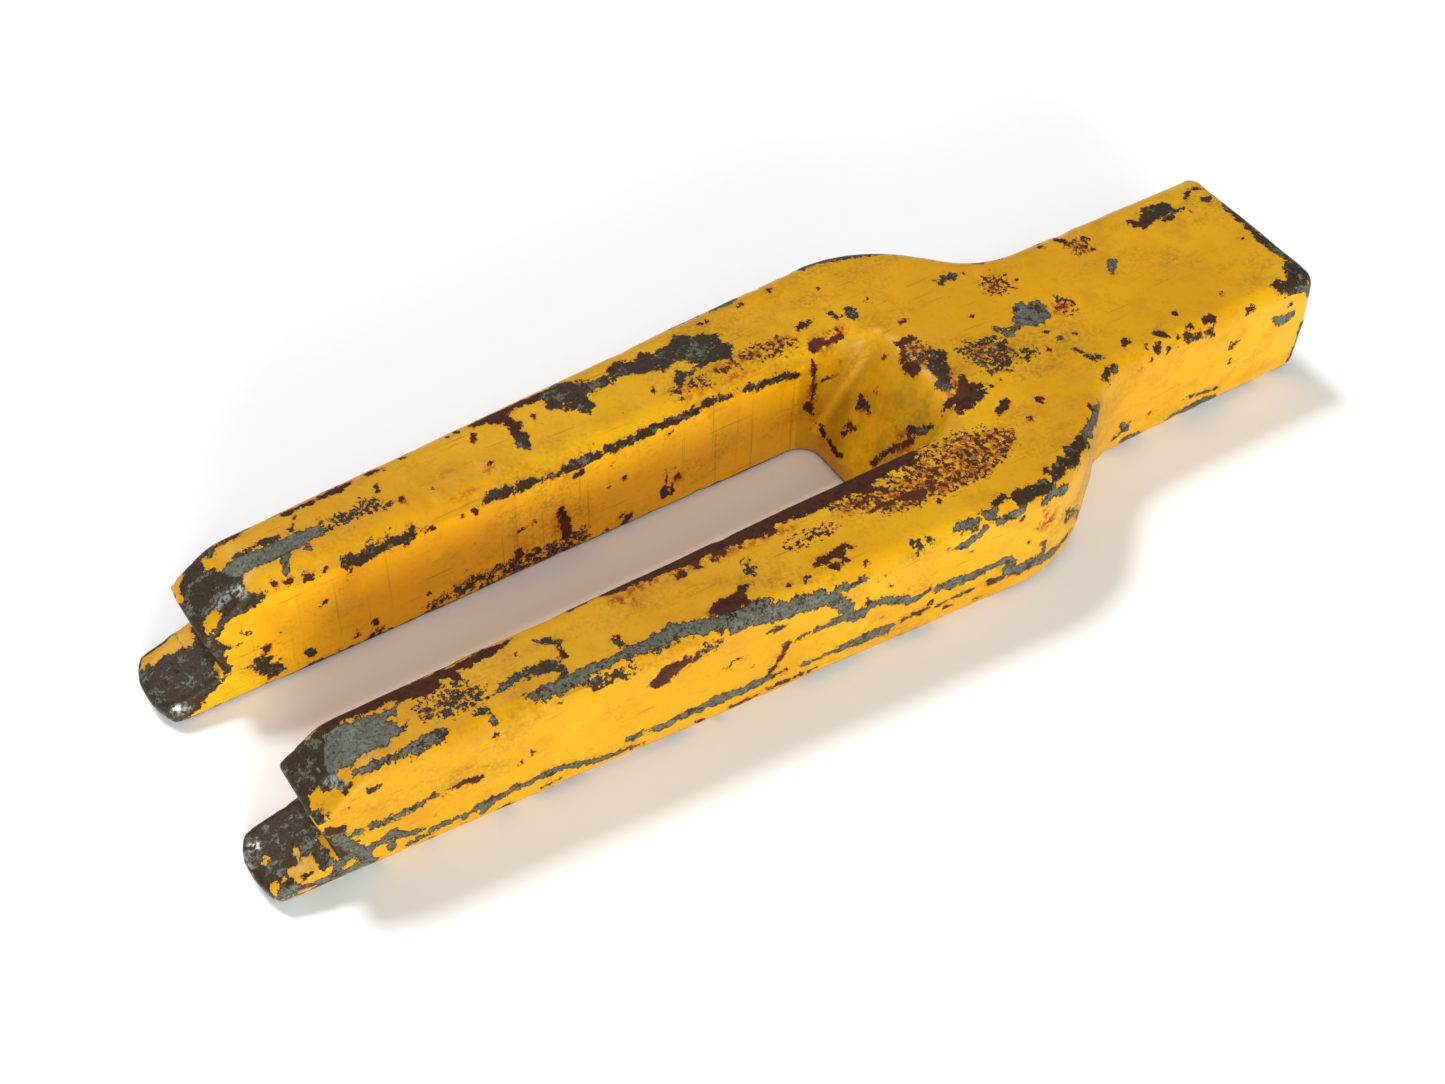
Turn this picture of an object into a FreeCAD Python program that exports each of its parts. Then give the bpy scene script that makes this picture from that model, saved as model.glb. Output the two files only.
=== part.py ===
"""Forged steel clamp fork.

One solid drop forging: two tines with notched tips, a yoke that joins them,
a neck and a rectangular shank.  The slot between the tines is milled straight
through the forging; the sloped hollow above its closed end is left as forged.

Frame: millimetres, +Z up.  X runs from the tips to the shank end, Y across the
fork.  The underside is the plane Z = 0 and the origin is under the middle of
the part, at the centre of its bounding box footprint.
"""
import FreeCAD
import Part

import math
import os

import Sketcher

V = FreeCAD.Vector

# ------------------------------------------------------------ driving sizes
SIZES = [
    # alias, value, what it is
    ("overall_length", 409, "tip of the lower lips to the shank end"),
    ("thickness", 44, "height of the forging, top face to underside"),
    ("draft_angle", 2, "forging draft above and below the parting line, degrees"),
    ("tip_half_width", 50.8, "half width of the blank at its start, on the parting line"),
    ("shoulder_station", 255, "tips to the start of the shoulder"),
    ("shoulder_half_width", 66.4, "half width where the shoulder starts, on the parting line"),
    ("shoulder_radius", 53, "convex radius of the shoulders"),
    ("neck_radius", 32, "concave radius between shoulder and shank"),
    ("neck_slope", 44, "steepest slope of the shoulder flank, degrees"),
    ("shank_half_width", 34, "half width of the shank, on the parting line"),
    ("forged_half_gap", 25.1, "half width of the gap between the tines as forged"),
    ("hollow_floor", 9, "height where the sloped hollow meets the milled end wall"),
    ("hollow_reach", 25, "how far the hollow runs back into the yoke at the top face"),
    ("hollow_corner", 10, "corner radius of the hollow, square to its slope"),
    ("inner_round", 7.5, "forged radius of the upper edge round the gap and the hollow"),
    ("slot_width", 51.2, "milled slot between the tines"),
    ("slot_depth", 237, "tips to the milled end wall of the slot"),
    ("slot_corner", 8, "corner radius at the closed end of the slot"),
    ("lip_round", 7.5, "radius under the front of the lower lip"),
    ("lip_plan_radius", 20, "radius of the lip front seen from above"),
    ("lip_centre", 38.5, "middle of each tine at its tip, from the middle plane"),
    ("lip_plan_half", 16, "half width of the cut that shapes each lip front"),
    ("apex_station", 23, "tips to the bottom of the notch"),
    ("apex_height", 14, "height of the bottom of the notch"),
    ("nose_station", 17.8, "tips to the point of the upper lip"),
    ("nose_height", 32, "height of the point of the upper lip"),
    ("bevel_slope", 34, "slope of the bevel on the upper lip, degrees"),
    ("bevel_blend", 16, "blend radius between the top face and the bevel"),
    ("outer_round", 6, "radius of the outer edges, top and bottom"),
    ("inner_break", 1.2, "edge break of the lower edge round the slot"),
    ("end_round", 4, "edge radius round the shank end"),
    ("spare", 10, "how far the cutting shapes run past the metal"),
]

doc = FreeCAD.newDocument("ClampFork")
sheet = doc.addObject("Spreadsheet::Sheet", "Dimensions")
for row, (alias, value, note) in enumerate(SIZES, start=1):
    sheet.set("A%d" % row, alias)
    sheet.set("B%d" % row, str(value))
    sheet.set("C%d" % row, note)
    sheet.setAlias("B%d" % row, alias)
doc.recompute()
SIZE = {alias: float(sheet.get(alias)) for alias, _, _ in SIZES}


# ------------------------------------------------------------ small helpers
def origin_plane(body, role):
    return [f for f in body.Origin.OriginFeatures if f.Role == role][0]


def new_sketch(body, name, role):
    sketch = body.newObject("Sketcher::SketchObject", name)
    sketch.AttachmentSupport = [(origin_plane(body, role), "")]
    sketch.MapMode = "FlatFace"
    return sketch


def dimension(sketch, name, formula, kind, *where):
    """Add one named dimension and bind it to the spreadsheet."""
    value = start_value(formula)
    if kind == "Angle":
        value = math.radians(value)
    index = sketch.addConstraint(Sketcher.Constraint(kind, *where, value))
    sketch.renameConstraint(index, name)
    sketch.setExpression("Constraints." + name, formula)


def start_value(formula):
    """The formula worked out with the sizes, to start the sketch solver from."""
    total, sign = 0.0, 1
    for word in formula.replace("Dimensions.", "").split(" "):
        if word in ("+", "-"):
            sign = 1 if word == "+" else -1
        elif word in SIZE:
            total += sign * SIZE[word]
    return total


def chain(sketch, points):
    """Closed polygon of lines through the points; returns the line numbers."""
    lines = []
    for start, end in zip(points, points[1:] + points[:1]):
        lines.append(sketch.addGeometry(Part.LineSegment(V(*start, 0), V(*end, 0)), False))
    for this, following in zip(lines, lines[1:] + lines[:1]):
        sketch.addConstraint(Sketcher.Constraint("Coincident", this, 2, following, 1))
    return lines


def finish(feature, text, change):
    """Recompute and make sure the feature adds (+1) or removes (-1) metal."""
    doc.recompute()
    volume = feature.Shape.Volume
    step = volume - finish.volume
    print("%-24s %10.1f mm3  %+10.1f" % (text, volume, step))
    if step * change <= 0:
        raise RuntimeError(text + " did not change the solid as it should")
    finish.volume = volume


finish.volume = 0.0


def edges_where(feature, test):
    """Names of the edges whose sampled points all pass the test."""
    names = []
    for number, edge in enumerate(feature.Shape.Edges, start=1):
        if edge.Length < 0.05:
            continue
        count = 5
        first, last = edge.ParameterRange
        points = [edge.valueAt(first + (last - first) * i / (count - 1.0)) for i in range(count)]
        if all(test(p) for p in points):
            names.append("Edge%d" % number)
    return names


def fillet(body, base, name, alias, names):
    if not names:
        raise RuntimeError(name + " found no edges")
    feature = body.newObject("PartDesign::Fillet", name)
    feature.Base = (base, names)
    feature.setExpression("Radius", "Dimensions." + alias)
    finish(feature, name, -1)
    return feature


def pocket_through(body, sketch, name):
    """Cut the sketch right through the metal, both ways from its plane."""
    feature = body.newObject("PartDesign::Pocket", name)
    feature.Profile = sketch
    feature.Type = "ThroughAll"
    feature.SideType = "Two sides"
    feature.Type2 = "ThroughAll"
    finish(feature, name, -1)
    return feature


length = SIZE["overall_length"]
height = SIZE["thickness"]

# ------------------------------------------------------------ forged blank
body = doc.addObject("PartDesign::Body", "ForkBody")
body.Label = "fork_forging"

outline = new_sketch(body, "BlankOutline", "XY_Plane")
outline.setExpression(".AttachmentOffset.Base.z", "Dimensions.thickness / 2")

tip_y = SIZE["tip_half_width"]
shoulder_x, shoulder_y = SIZE["shoulder_station"], SIZE["shoulder_half_width"]
shank_y = SIZE["shank_half_width"]
big, small = SIZE["shoulder_radius"], SIZE["neck_radius"]
slope = math.radians(SIZE["neck_slope"])
blank_start = -SIZE["spare"]
taper = math.atan2(shoulder_y - tip_y, shoulder_x - blank_start)

# shoulder arc: starts along the tine, ends on the slope of the neck
centre_1 = V(shoulder_x + big * math.sin(taper), shoulder_y - big * math.cos(taper), 0)
end_1 = centre_1 + V(big * math.sin(slope), big * math.cos(slope), 0)
# neck arc: leaves the slope and runs into the side of the shank
start_2_y = shank_y + small * (1 - math.cos(slope))
start_2 = V(end_1.x + (end_1.y - start_2_y) / math.tan(slope), start_2_y, 0)
centre_2 = V(start_2.x + small * math.sin(slope), shank_y + small, 0)
end_2 = V(centre_2.x, shank_y, 0)


def side(sign):
    """Outline of one long side, from the tip to the shank end."""
    def at(x, y):
        return V(x, sign * y, 0)

    def arc(centre, radius, first, last):
        if sign < 0:
            first, last = -last, -first
        circle = Part.Circle(at(centre.x, centre.y), V(0, 0, 1), radius)
        return Part.ArcOfCircle(circle, first, last)

    upright = math.pi / 2
    parts = [
        Part.LineSegment(at(blank_start, tip_y), at(shoulder_x, shoulder_y)),
        arc(centre_1, big, upright - slope, upright + taper),
        Part.LineSegment(at(end_1.x, end_1.y), at(start_2.x, start_2.y)),
        arc(centre_2, small, -upright - slope, -upright),
        Part.LineSegment(at(end_2.x, end_2.y), at(length, shank_y)),
    ]
    return [outline.addGeometry(part, False) for part in parts]


far = side(+1)
near = side(-1)
tip_end = outline.addGeometry(
    Part.LineSegment(V(blank_start, -tip_y, 0), V(blank_start, tip_y, 0)), False)
shank_end = outline.addGeometry(
    Part.LineSegment(V(length, shank_y, 0), V(length, -shank_y, 0)), False)


# point numbers of each line or arc: (towards the tips, towards the shank)
ends = {}
for g in far + near:
    piece = outline.Geometry[g]
    ends[g] = (1, 2) if piece.StartPoint.x < piece.EndPoint.x else (2, 1)
for long_side in (far, near):
    for a, b in zip(long_side, long_side[1:]):
        outline.addConstraint(Sketcher.Constraint("Tangent", a, ends[a][1], b, ends[b][0]))
    outline.addConstraint(Sketcher.Constraint("Horizontal", long_side[4]))
for number, point in ((0, 1), (0, 2), (4, 2)):
    outline.addConstraint(
        Sketcher.Constraint("Symmetric", far[number], point, near[number], point, -1))
outline.addConstraint(Sketcher.Constraint("Equal", far[1], near[1]))
outline.addConstraint(Sketcher.Constraint("Equal", far[3], near[3]))
outline.addConstraint(Sketcher.Constraint("Coincident", tip_end, 1, near[0], 1))
outline.addConstraint(Sketcher.Constraint("Coincident", tip_end, 2, far[0], 1))
outline.addConstraint(Sketcher.Constraint("Coincident", shank_end, 1, far[4], 2))
outline.addConstraint(Sketcher.Constraint("Coincident", shank_end, 2, near[4], 2))
dimension(outline, "blank_start", "Dimensions.spare", "DistanceX", far[0], 1, -1, 1)
dimension(outline, "tip_half_width", "Dimensions.tip_half_width",
          "DistanceY", -1, 1, far[0], 1)
dimension(outline, "shoulder_station", "Dimensions.shoulder_station",
          "DistanceX", -1, 1, far[0], 2)
dimension(outline, "shoulder_half_width", "Dimensions.shoulder_half_width",
          "DistanceY", -1, 1, far[0], 2)
dimension(outline, "shoulder_radius", "Dimensions.shoulder_radius", "Radius", far[1])
dimension(outline, "neck_radius", "Dimensions.neck_radius", "Radius", far[3])
dimension(outline, "shank_half_width", "Dimensions.shank_half_width",
          "DistanceY", -1, 1, far[4], 2)
dimension(outline, "overall_length", "Dimensions.overall_length",
          "DistanceX", -1, 1, far[4], 2)
dimension(outline, "neck_slope", "Dimensions.neck_slope", "Angle", far[2], 2, -1, 2)
dimension(outline, "neck_slope_near", "Dimensions.neck_slope", "Angle", -1, 2, near[2], 2)
doc.recompute()

blank = body.newObject("PartDesign::Pad", "Blank")
blank.Profile = outline
blank.SideType = "Two sides"
blank.setExpression("Length", "Dimensions.thickness / 2")
blank.setExpression("Length2", "Dimensions.thickness / 2")
blank.setExpression("TaperAngle", "-Dimensions.draft_angle")
blank.setExpression("TaperAngle2", "-Dimensions.draft_angle")
finish(blank, "Blank", +1)

# ------------------------------------------------------------ forged gap and hollow
gap = new_sketch(body, "ForgedGapSketch", "XY_Plane")
half = SIZE["forged_half_gap"]
depth = SIZE["slot_depth"] - SIZE["slot_corner"]
mouth = blank_start - SIZE["spare"]
lines = chain(gap, [(mouth, -half), (depth, -half), (depth, half), (mouth, half)])
for number in (lines[0], lines[2]):
    gap.addConstraint(Sketcher.Constraint("Horizontal", number))
gap.addConstraint(Sketcher.Constraint("Vertical", lines[3]))
gap.addConstraint(Sketcher.Constraint("Symmetric", lines[0], 2, lines[1], 2, -1))
dimension(gap, "half_gap", "Dimensions.forged_half_gap", "DistanceY", -1, 1, lines[1], 2)
dimension(gap, "gap_depth", "Dimensions.slot_depth - Dimensions.slot_corner",
          "DistanceX", -1, 1, lines[1], 2)
dimension(gap, "gap_mouth", "Dimensions.spare + Dimensions.spare",
          "DistanceX", lines[3], 1, -1, 1)
forged_gap = pocket_through(body, gap, "ForgedGap")

# the hollow is a trough with round corners, square to its own slope
hollow = new_sketch(body, "HollowSketch", "YZ_Plane")
slope_formula = "atan(Dimensions.hollow_reach / (Dimensions.thickness - Dimensions.hollow_floor))"
hollow.AttachmentOffset = FreeCAD.Placement(V(0, 0, 0), FreeCAD.Rotation(V(1, 0, 0), -50))
hollow.setExpression(".AttachmentOffset.Base.y", "Dimensions.hollow_floor")
hollow.setExpression(".AttachmentOffset.Base.z", "Dimensions.slot_depth")
hollow.setExpression(".AttachmentOffset.Rotation.Angle", slope_formula + " - 90 deg")
corner = SIZE["hollow_corner"]
top = SIZE["thickness"] + SIZE["spare"]
quarter = math.pi / 2
shapes = [
    Part.LineSegment(V(-half + corner, 0, 0), V(half - corner, 0, 0)),
    Part.ArcOfCircle(Part.Circle(V(half - corner, corner, 0), V(0, 0, 1), corner), -quarter, 0),
    Part.LineSegment(V(half, corner, 0), V(half, top, 0)),
    Part.LineSegment(V(half, top, 0), V(-half, top, 0)),
    Part.LineSegment(V(-half, top, 0), V(-half, corner, 0)),
    Part.ArcOfCircle(Part.Circle(V(corner - half, corner, 0), V(0, 0, 1), corner),
                     -2 * quarter, -quarter),
]
floor, right, right_side, lid, left_side, left = [hollow.addGeometry(g, False) for g in shapes]
for a, b in ((floor, right), (right, right_side), (left_side, left), (left, floor)):
    hollow.addConstraint(Sketcher.Constraint("Tangent", a, 2, b, 1))
hollow.addConstraint(Sketcher.Constraint("Coincident", right_side, 2, lid, 1))
hollow.addConstraint(Sketcher.Constraint("Coincident", lid, 2, left_side, 1))
hollow.addConstraint(Sketcher.Constraint("PointOnObject", floor, 1, -1))
hollow.addConstraint(Sketcher.Constraint("Horizontal", floor))
hollow.addConstraint(Sketcher.Constraint("Vertical", right_side))
hollow.addConstraint(Sketcher.Constraint("Vertical", left_side))
hollow.addConstraint(Sketcher.Constraint("Symmetric", lid, 1, lid, 2, -2))
hollow.addConstraint(Sketcher.Constraint("Equal", left, right))
dimension(hollow, "corner", "Dimensions.hollow_corner", "Radius", right)
dimension(hollow, "half_width", "Dimensions.forged_half_gap", "DistanceX", -1, 1, lid, 1)
dimension(hollow, "above", "Dimensions.thickness + Dimensions.spare",
          "DistanceY", -1, 1, lid, 1)
forged_hollow = pocket_through(body, hollow, "ForgedHollow")

# upper edge of the gap and the hollow, one smooth chain
rim = edges_where(forged_hollow, lambda p: abs(p.z - height) < 0.01 and abs(p.y) < half + 0.3
                  and p.x > blank_start + 0.5)
inner_round = fillet(body, forged_hollow, "InnerRound", "inner_round", rim)


def outer_edges(feature, level):
    """Edges along the outer sides at one level, without the two end faces."""
    return edges_where(feature, lambda p: abs(p.z - level) < 0.01
                       and (abs(p.y) > half + 10 or p.x > depth + SIZE["hollow_reach"] + 20)
                       and blank_start + 0.5 < p.x < length - 1.5)


upper_round = fillet(body, inner_round, "UpperOuterRound", "outer_round",
                     outer_edges(inner_round, height))
lower_round = fillet(body, upper_round, "LowerOuterRound", "outer_round",
                     outer_edges(upper_round, 0))

# ------------------------------------------------------------ milled slot
slot = new_sketch(body, "MilledSlotSketch", "XY_Plane")
wall = SIZE["slot_width"] / 2
depth = SIZE["slot_depth"]
corner = SIZE["slot_corner"]


def slot_arc(y, first, last):
    return Part.ArcOfCircle(Part.Circle(V(depth - corner, y, 0), V(0, 0, 1), corner), first, last)


shapes = [
    Part.LineSegment(V(mouth, -wall, 0), V(depth - corner, -wall, 0)),
    slot_arc(corner - wall, -quarter, 0),
    Part.LineSegment(V(depth, corner - wall, 0), V(depth, wall - corner, 0)),
    slot_arc(wall - corner, 0, quarter),
    Part.LineSegment(V(depth - corner, wall, 0), V(mouth, wall, 0)),
    Part.LineSegment(V(mouth, wall, 0), V(mouth, -wall, 0)),
]
near_wall, near_arc, end_wall, far_arc, far_wall, opening = [
    slot.addGeometry(g, False) for g in shapes]
for a, b in ((near_wall, near_arc), (near_arc, end_wall), (end_wall, far_arc), (far_arc, far_wall)):
    slot.addConstraint(Sketcher.Constraint("Tangent", a, 2, b, 1))
slot.addConstraint(Sketcher.Constraint("Coincident", far_wall, 2, opening, 1))
slot.addConstraint(Sketcher.Constraint("Coincident", opening, 2, near_wall, 1))
slot.addConstraint(Sketcher.Constraint("Horizontal", near_wall))
slot.addConstraint(Sketcher.Constraint("Horizontal", far_wall))
slot.addConstraint(Sketcher.Constraint("Vertical", end_wall))
slot.addConstraint(Sketcher.Constraint("Symmetric", opening, 1, opening, 2, -1))
slot.addConstraint(Sketcher.Constraint("Equal", near_arc, far_arc))
dimension(slot, "corner", "Dimensions.slot_corner", "Radius", far_arc)
dimension(slot, "width", "Dimensions.slot_width", "DistanceY", near_wall, 1, far_wall, 2)
dimension(slot, "depth", "Dimensions.slot_depth", "DistanceX", -1, 1, end_wall, 2)
dimension(slot, "mouth", "Dimensions.spare + Dimensions.spare", "DistanceX", opening, 1, -1, 1)
milled_slot = pocket_through(body, slot, "MilledSlot")

# ------------------------------------------------------------ notched tips
tips = new_sketch(body, "TipSketch", "XZ_Plane")
lip = SIZE["lip_round"]
apex = (SIZE["apex_station"], SIZE["apex_height"])
nose = (SIZE["nose_station"], SIZE["nose_height"])
bevel = math.radians(SIZE["bevel_slope"])
blend = SIZE["bevel_blend"]
meet_x = nose[0] + (height - nose[1]) / math.tan(bevel)
blend_x = meet_x + blend * math.tan(bevel / 2)
blend_end = (blend_x - blend * math.sin(bevel), height - blend * (1 - math.cos(bevel)))
spare = SIZE["spare"]
outside = -2 * spare
path = [(outside, -spare), (lip, -spare), (lip, 0), (0, lip), apex, nose, blend_end,
        (blend_x, height), (blend_x, height + spare), (outside, height + spare)]
shapes = []
for start, end in zip(path, path[1:] + path[:1]):
    if start == (lip, 0):
        shapes.append(Part.ArcOfCircle(
            Part.Circle(V(lip, lip, 0), V(0, 0, 1), lip), math.pi, 1.5 * math.pi))
    elif start == blend_end:
        shapes.append(Part.ArcOfCircle(
            Part.Circle(V(blend_x, height - blend, 0), V(0, 0, 1), blend),
            quarter, quarter + bevel))
    else:
        shapes.append(Part.LineSegment(V(*start, 0), V(*end, 0)))
under, up_to_lip, lip_arc, lower_flank, upper_flank, bevel_line, blend_arc, up, over, back = [
    tips.addGeometry(g, False) for g in shapes]
joints = [(under, 2, up_to_lip, 1), (up_to_lip, 2, lip_arc, 2), (lip_arc, 1, lower_flank, 1),
          (lower_flank, 2, upper_flank, 1), (upper_flank, 2, bevel_line, 1),
          (blend_arc, 1, up, 1), (up, 2, over, 1), (over, 2, back, 1), (back, 2, under, 1)]
for joint in joints:
    tips.addConstraint(Sketcher.Constraint("Coincident", *joint))
tips.addConstraint(Sketcher.Constraint("Tangent", bevel_line, 2, blend_arc, 2))
for line in (under, over):
    tips.addConstraint(Sketcher.Constraint("Horizontal", line))
for line in (up_to_lip, up, back):
    tips.addConstraint(Sketcher.Constraint("Vertical", line))
# the lip is a quarter round standing on the underside, its front at the tip plane
tips.addConstraint(Sketcher.Constraint("PointOnObject", lip_arc, 1, -2))
tips.addConstraint(Sketcher.Constraint("PointOnObject", lip_arc, 2, -1))
tips.addConstraint(Sketcher.Constraint("Vertical", lip_arc, 2, lip_arc, 3))
tips.addConstraint(Sketcher.Constraint("Horizontal", lip_arc, 1, lip_arc, 3))
# the blend leaves the top face without a step
tips.addConstraint(Sketcher.Constraint("Vertical", blend_arc, 1, blend_arc, 3))
dimension(tips, "lip_round", "Dimensions.lip_round", "Radius", lip_arc)
dimension(tips, "bevel_blend", "Dimensions.bevel_blend", "Radius", blend_arc)
dimension(tips, "apex_station", "Dimensions.apex_station", "DistanceX", -1, 1, lower_flank, 2)
dimension(tips, "apex_height", "Dimensions.apex_height", "DistanceY", -1, 1, lower_flank, 2)
dimension(tips, "nose_station", "Dimensions.nose_station", "DistanceX", -1, 1, upper_flank, 2)
dimension(tips, "nose_height", "Dimensions.nose_height", "DistanceY", -1, 1, upper_flank, 2)
dimension(tips, "bevel_slope", "Dimensions.bevel_slope", "Angle", -1, 1, bevel_line, 1)
dimension(tips, "top", "Dimensions.thickness", "DistanceY", -1, 1, blend_arc, 1)
dimension(tips, "above", "Dimensions.thickness + Dimensions.spare", "DistanceY", -1, 1, up, 2)
dimension(tips, "below", "Dimensions.spare", "DistanceY", under, 1, -1, 1)
dimension(tips, "outside", "Dimensions.spare + Dimensions.spare", "DistanceX", under, 1, -1, 1)
notched = pocket_through(body, tips, "NotchedTips")


# each lip front is a shallow arc seen from above
lips = new_sketch(body, "LipPlanSketch", "XY_Plane")
plan, centre_y, reach = SIZE["lip_plan_radius"], SIZE["lip_centre"], SIZE["lip_plan_half"]
spread = math.asin(reach / plan)
back_x = plan * (1 - math.cos(spread))
for name, sign in (("far", 1), ("near", -1)):
    low, high = sign * centre_y - reach, sign * centre_y + reach
    shapes = [
        Part.ArcOfCircle(Part.Circle(V(plan, sign * centre_y, 0), V(0, 0, 1), plan),
                         math.pi - spread, math.pi + spread),
        Part.LineSegment(V(back_x, low, 0), V(outside, low, 0)),
        Part.LineSegment(V(outside, low, 0), V(outside, high, 0)),
        Part.LineSegment(V(outside, high, 0), V(back_x, high, 0)),
    ]
    front, lower_line, outer_line, upper_line = [lips.addGeometry(g, False) for g in shapes]
    for joint in ((front, 2, lower_line, 1), (lower_line, 2, outer_line, 1),
                  (outer_line, 2, upper_line, 1), (upper_line, 2, front, 1)):
        lips.addConstraint(Sketcher.Constraint("Coincident", *joint))
    lips.addConstraint(Sketcher.Constraint("Horizontal", lower_line))
    lips.addConstraint(Sketcher.Constraint("Horizontal", upper_line))
    lips.addConstraint(Sketcher.Constraint("Vertical", outer_line))
    lips.addConstraint(Sketcher.Constraint("Vertical", front, 1, front, 2))
    dimension(lips, name + "_radius", "Dimensions.lip_plan_radius", "Radius", front)
    dimension(lips, name + "_front", "Dimensions.lip_plan_radius", "DistanceX", -1, 1, front, 3)
    dimension(lips, name + "_outside", "Dimensions.spare + Dimensions.spare",
              "DistanceX", outer_line, 1, -1, 1)
    dimension(lips, name + "_width", "Dimensions.lip_plan_half + Dimensions.lip_plan_half",
              "DistanceY", outer_line, 1, outer_line, 2)
    ends_of = (-1, 1, front, 3) if sign > 0 else (front, 3, -1, 1)
    dimension(lips, name + "_middle", "Dimensions.lip_centre", "DistanceY", *ends_of)
rounded_lips = pocket_through(body, lips, "RoundedLips")


# ------------------------------------------------------------ small edge breaks
def lower_inner(p):
    """Underside edges round the milled slot, back from the lips."""
    return abs(p.z) < 0.01 and abs(p.y) < wall + 0.01 and lip - 0.01 < p.x < depth + 0.01


inner_break = fillet(body, rounded_lips, "InnerBreak", "inner_break",
                     edges_where(rounded_lips, lower_inner))

# the rim of the shank end, without the parting line that crosses the end face
end_face = edges_where(inner_break, lambda p: p.x > length - 0.8)
parting = edges_where(inner_break, lambda p: abs(p.z - height / 2) < 0.01)
end_round = fillet(body, inner_break, "EndRound", "end_round",
                   [name for name in end_face if name not in parting])

# the origin sits under the middle of the part
body.setExpression("Placement.Base.x", "-Dimensions.overall_length / 2")
doc.recompute()

# ------------------------------------------------------------ checks and output
for item in doc.Objects:
    if "Invalid" in item.State or "Error" in item.State:
        raise RuntimeError(item.Name + " failed: " + item.getStatusString())
    if item.TypeId == "Sketcher::SketchObject" and not item.FullyConstrained:
        raise RuntimeError(item.Name + " is not fully constrained")
shape = body.Shape
if shape.isNull() or not shape.isValid() or len(shape.Solids) != 1:
    raise RuntimeError("the forging is not one valid solid")

os.makedirs("parts", exist_ok=True)
shape.exportStep("parts/%s.step" % body.Label)
box = shape.BoundBox
print("solid %.0f mm3, %d faces, box %.1f x %.1f x %.1f mm" % (
    shape.Volume, len(shape.Faces), box.XLength, box.YLength, box.ZLength))
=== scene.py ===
import math

import bmesh
import bpy
import numpy as np
from mathutils import Matrix, Vector, noise
from mathutils.bvhtree import BVHTree


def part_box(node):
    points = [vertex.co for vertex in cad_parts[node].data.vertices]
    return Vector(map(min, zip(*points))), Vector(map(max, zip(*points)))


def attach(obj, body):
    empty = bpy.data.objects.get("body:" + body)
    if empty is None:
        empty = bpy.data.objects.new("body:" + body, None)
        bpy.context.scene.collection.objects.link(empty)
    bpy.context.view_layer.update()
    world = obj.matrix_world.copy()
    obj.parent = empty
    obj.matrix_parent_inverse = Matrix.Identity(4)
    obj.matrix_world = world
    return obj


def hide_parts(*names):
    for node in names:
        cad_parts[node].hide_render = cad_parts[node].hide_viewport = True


# A forged steel fork in chipped amber-yellow paint.
# Lengths in the tables and in the wear are millimetres. x runs from the notched tips to the
# shank end, y across (the near tine is at minus y) and z up from the underside.

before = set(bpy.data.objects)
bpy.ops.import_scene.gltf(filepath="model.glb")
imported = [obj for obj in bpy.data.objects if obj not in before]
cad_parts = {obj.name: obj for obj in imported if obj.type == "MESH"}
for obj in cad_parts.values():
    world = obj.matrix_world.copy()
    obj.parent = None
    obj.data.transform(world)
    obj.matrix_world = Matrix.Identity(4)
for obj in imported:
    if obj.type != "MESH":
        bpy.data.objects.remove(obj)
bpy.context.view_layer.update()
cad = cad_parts["fork_forging"]
box_low, box_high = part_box("fork_forging")
MM = 0.001
TIPS = box_low.x / MM
TOP = box_high.z / MM

# ------------------------------------------------------------ camera and light
CAMERA_PLACE = (-287.6, -392.6, 527.5)   # mm, from the middle of the footprint
CAMERA_HEADING = 55.62                   # degrees from +X towards +Y
CAMERA_DOWN = 47.75                      # degrees below the horizon
CAMERA_ROLL = 2.07
CAMERA_LENS = 53.68                      # mm, on a sensor of the next line's width
SENSOR_WIDTH = 36
CLIP_START = 0.01                        # m

# heading and height in degrees, strength, spread in degrees, colour
SUNS = {
    "key": (249, 9, 3.62, 30, (0.94, 1.0, 0.88)),
    "fill": (255, 48, 0.68, 30, (1, 1, 1)),
    "overhead": (105, 58, 1.88, 13, (1, 1, 1)),
}

FLOOR_HALF = 25.0                        # m, so that its edge is never in sight
FLOOR_HEIGHT = -0.0002                   # m, just under the part
FLOOR_GREY = 0.97
DOME_COLOUR = (0.97, 0.99, 1.03, 1)
# the dome falls from white at the horizon to an even light overhead: From and To of a map range
DOME = {"From Min": 0.02, "From Max": 0.26, "To Min": 1.0, "To Max": 0.30}


def added(name, data):
    """A new object with that data, linked into the scene."""
    thing = bpy.data.objects.new(name, data)
    bpy.context.scene.collection.objects.link(thing)
    return thing


def direction(heading, height):
    """The unit vector to that heading and height above the horizon, both in degrees."""
    heading, height = math.radians(heading), math.radians(height)
    return Vector((math.cos(heading) * math.cos(height), math.sin(heading) * math.cos(height),
                   math.sin(height)))


def add_camera():
    ahead = direction(CAMERA_HEADING, -CAMERA_DOWN)
    heading, roll = math.radians(CAMERA_HEADING), math.radians(CAMERA_ROLL)
    right = Vector((math.sin(heading), -math.cos(heading), 0))
    up = right.cross(ahead)
    right, up = (right * math.cos(roll) + up * math.sin(roll),
                 up * math.cos(roll) - right * math.sin(roll))
    camera = added("camera", bpy.data.cameras.new("camera"))
    turn = Matrix((right, up, -ahead)).transposed().to_4x4()
    camera.matrix_world = Matrix.Translation(Vector(CAMERA_PLACE) * MM) @ turn
    camera.data.lens = CAMERA_LENS
    camera.data.sensor_width = SENSOR_WIDTH
    camera.data.clip_start = CLIP_START
    bpy.context.scene.camera = camera


def add_soft_sun(name, heading, height, strength, spread, colour):
    """A soft light from that heading and height, even over the whole floor."""
    light = bpy.data.lights.new(name, "SUN")
    light.energy = strength
    light.angle = math.radians(spread)
    light.color = colour
    lamp = added(name, light)
    lamp.rotation_euler = direction(heading, height).to_track_quat("Z", "Y").to_euler()


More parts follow.
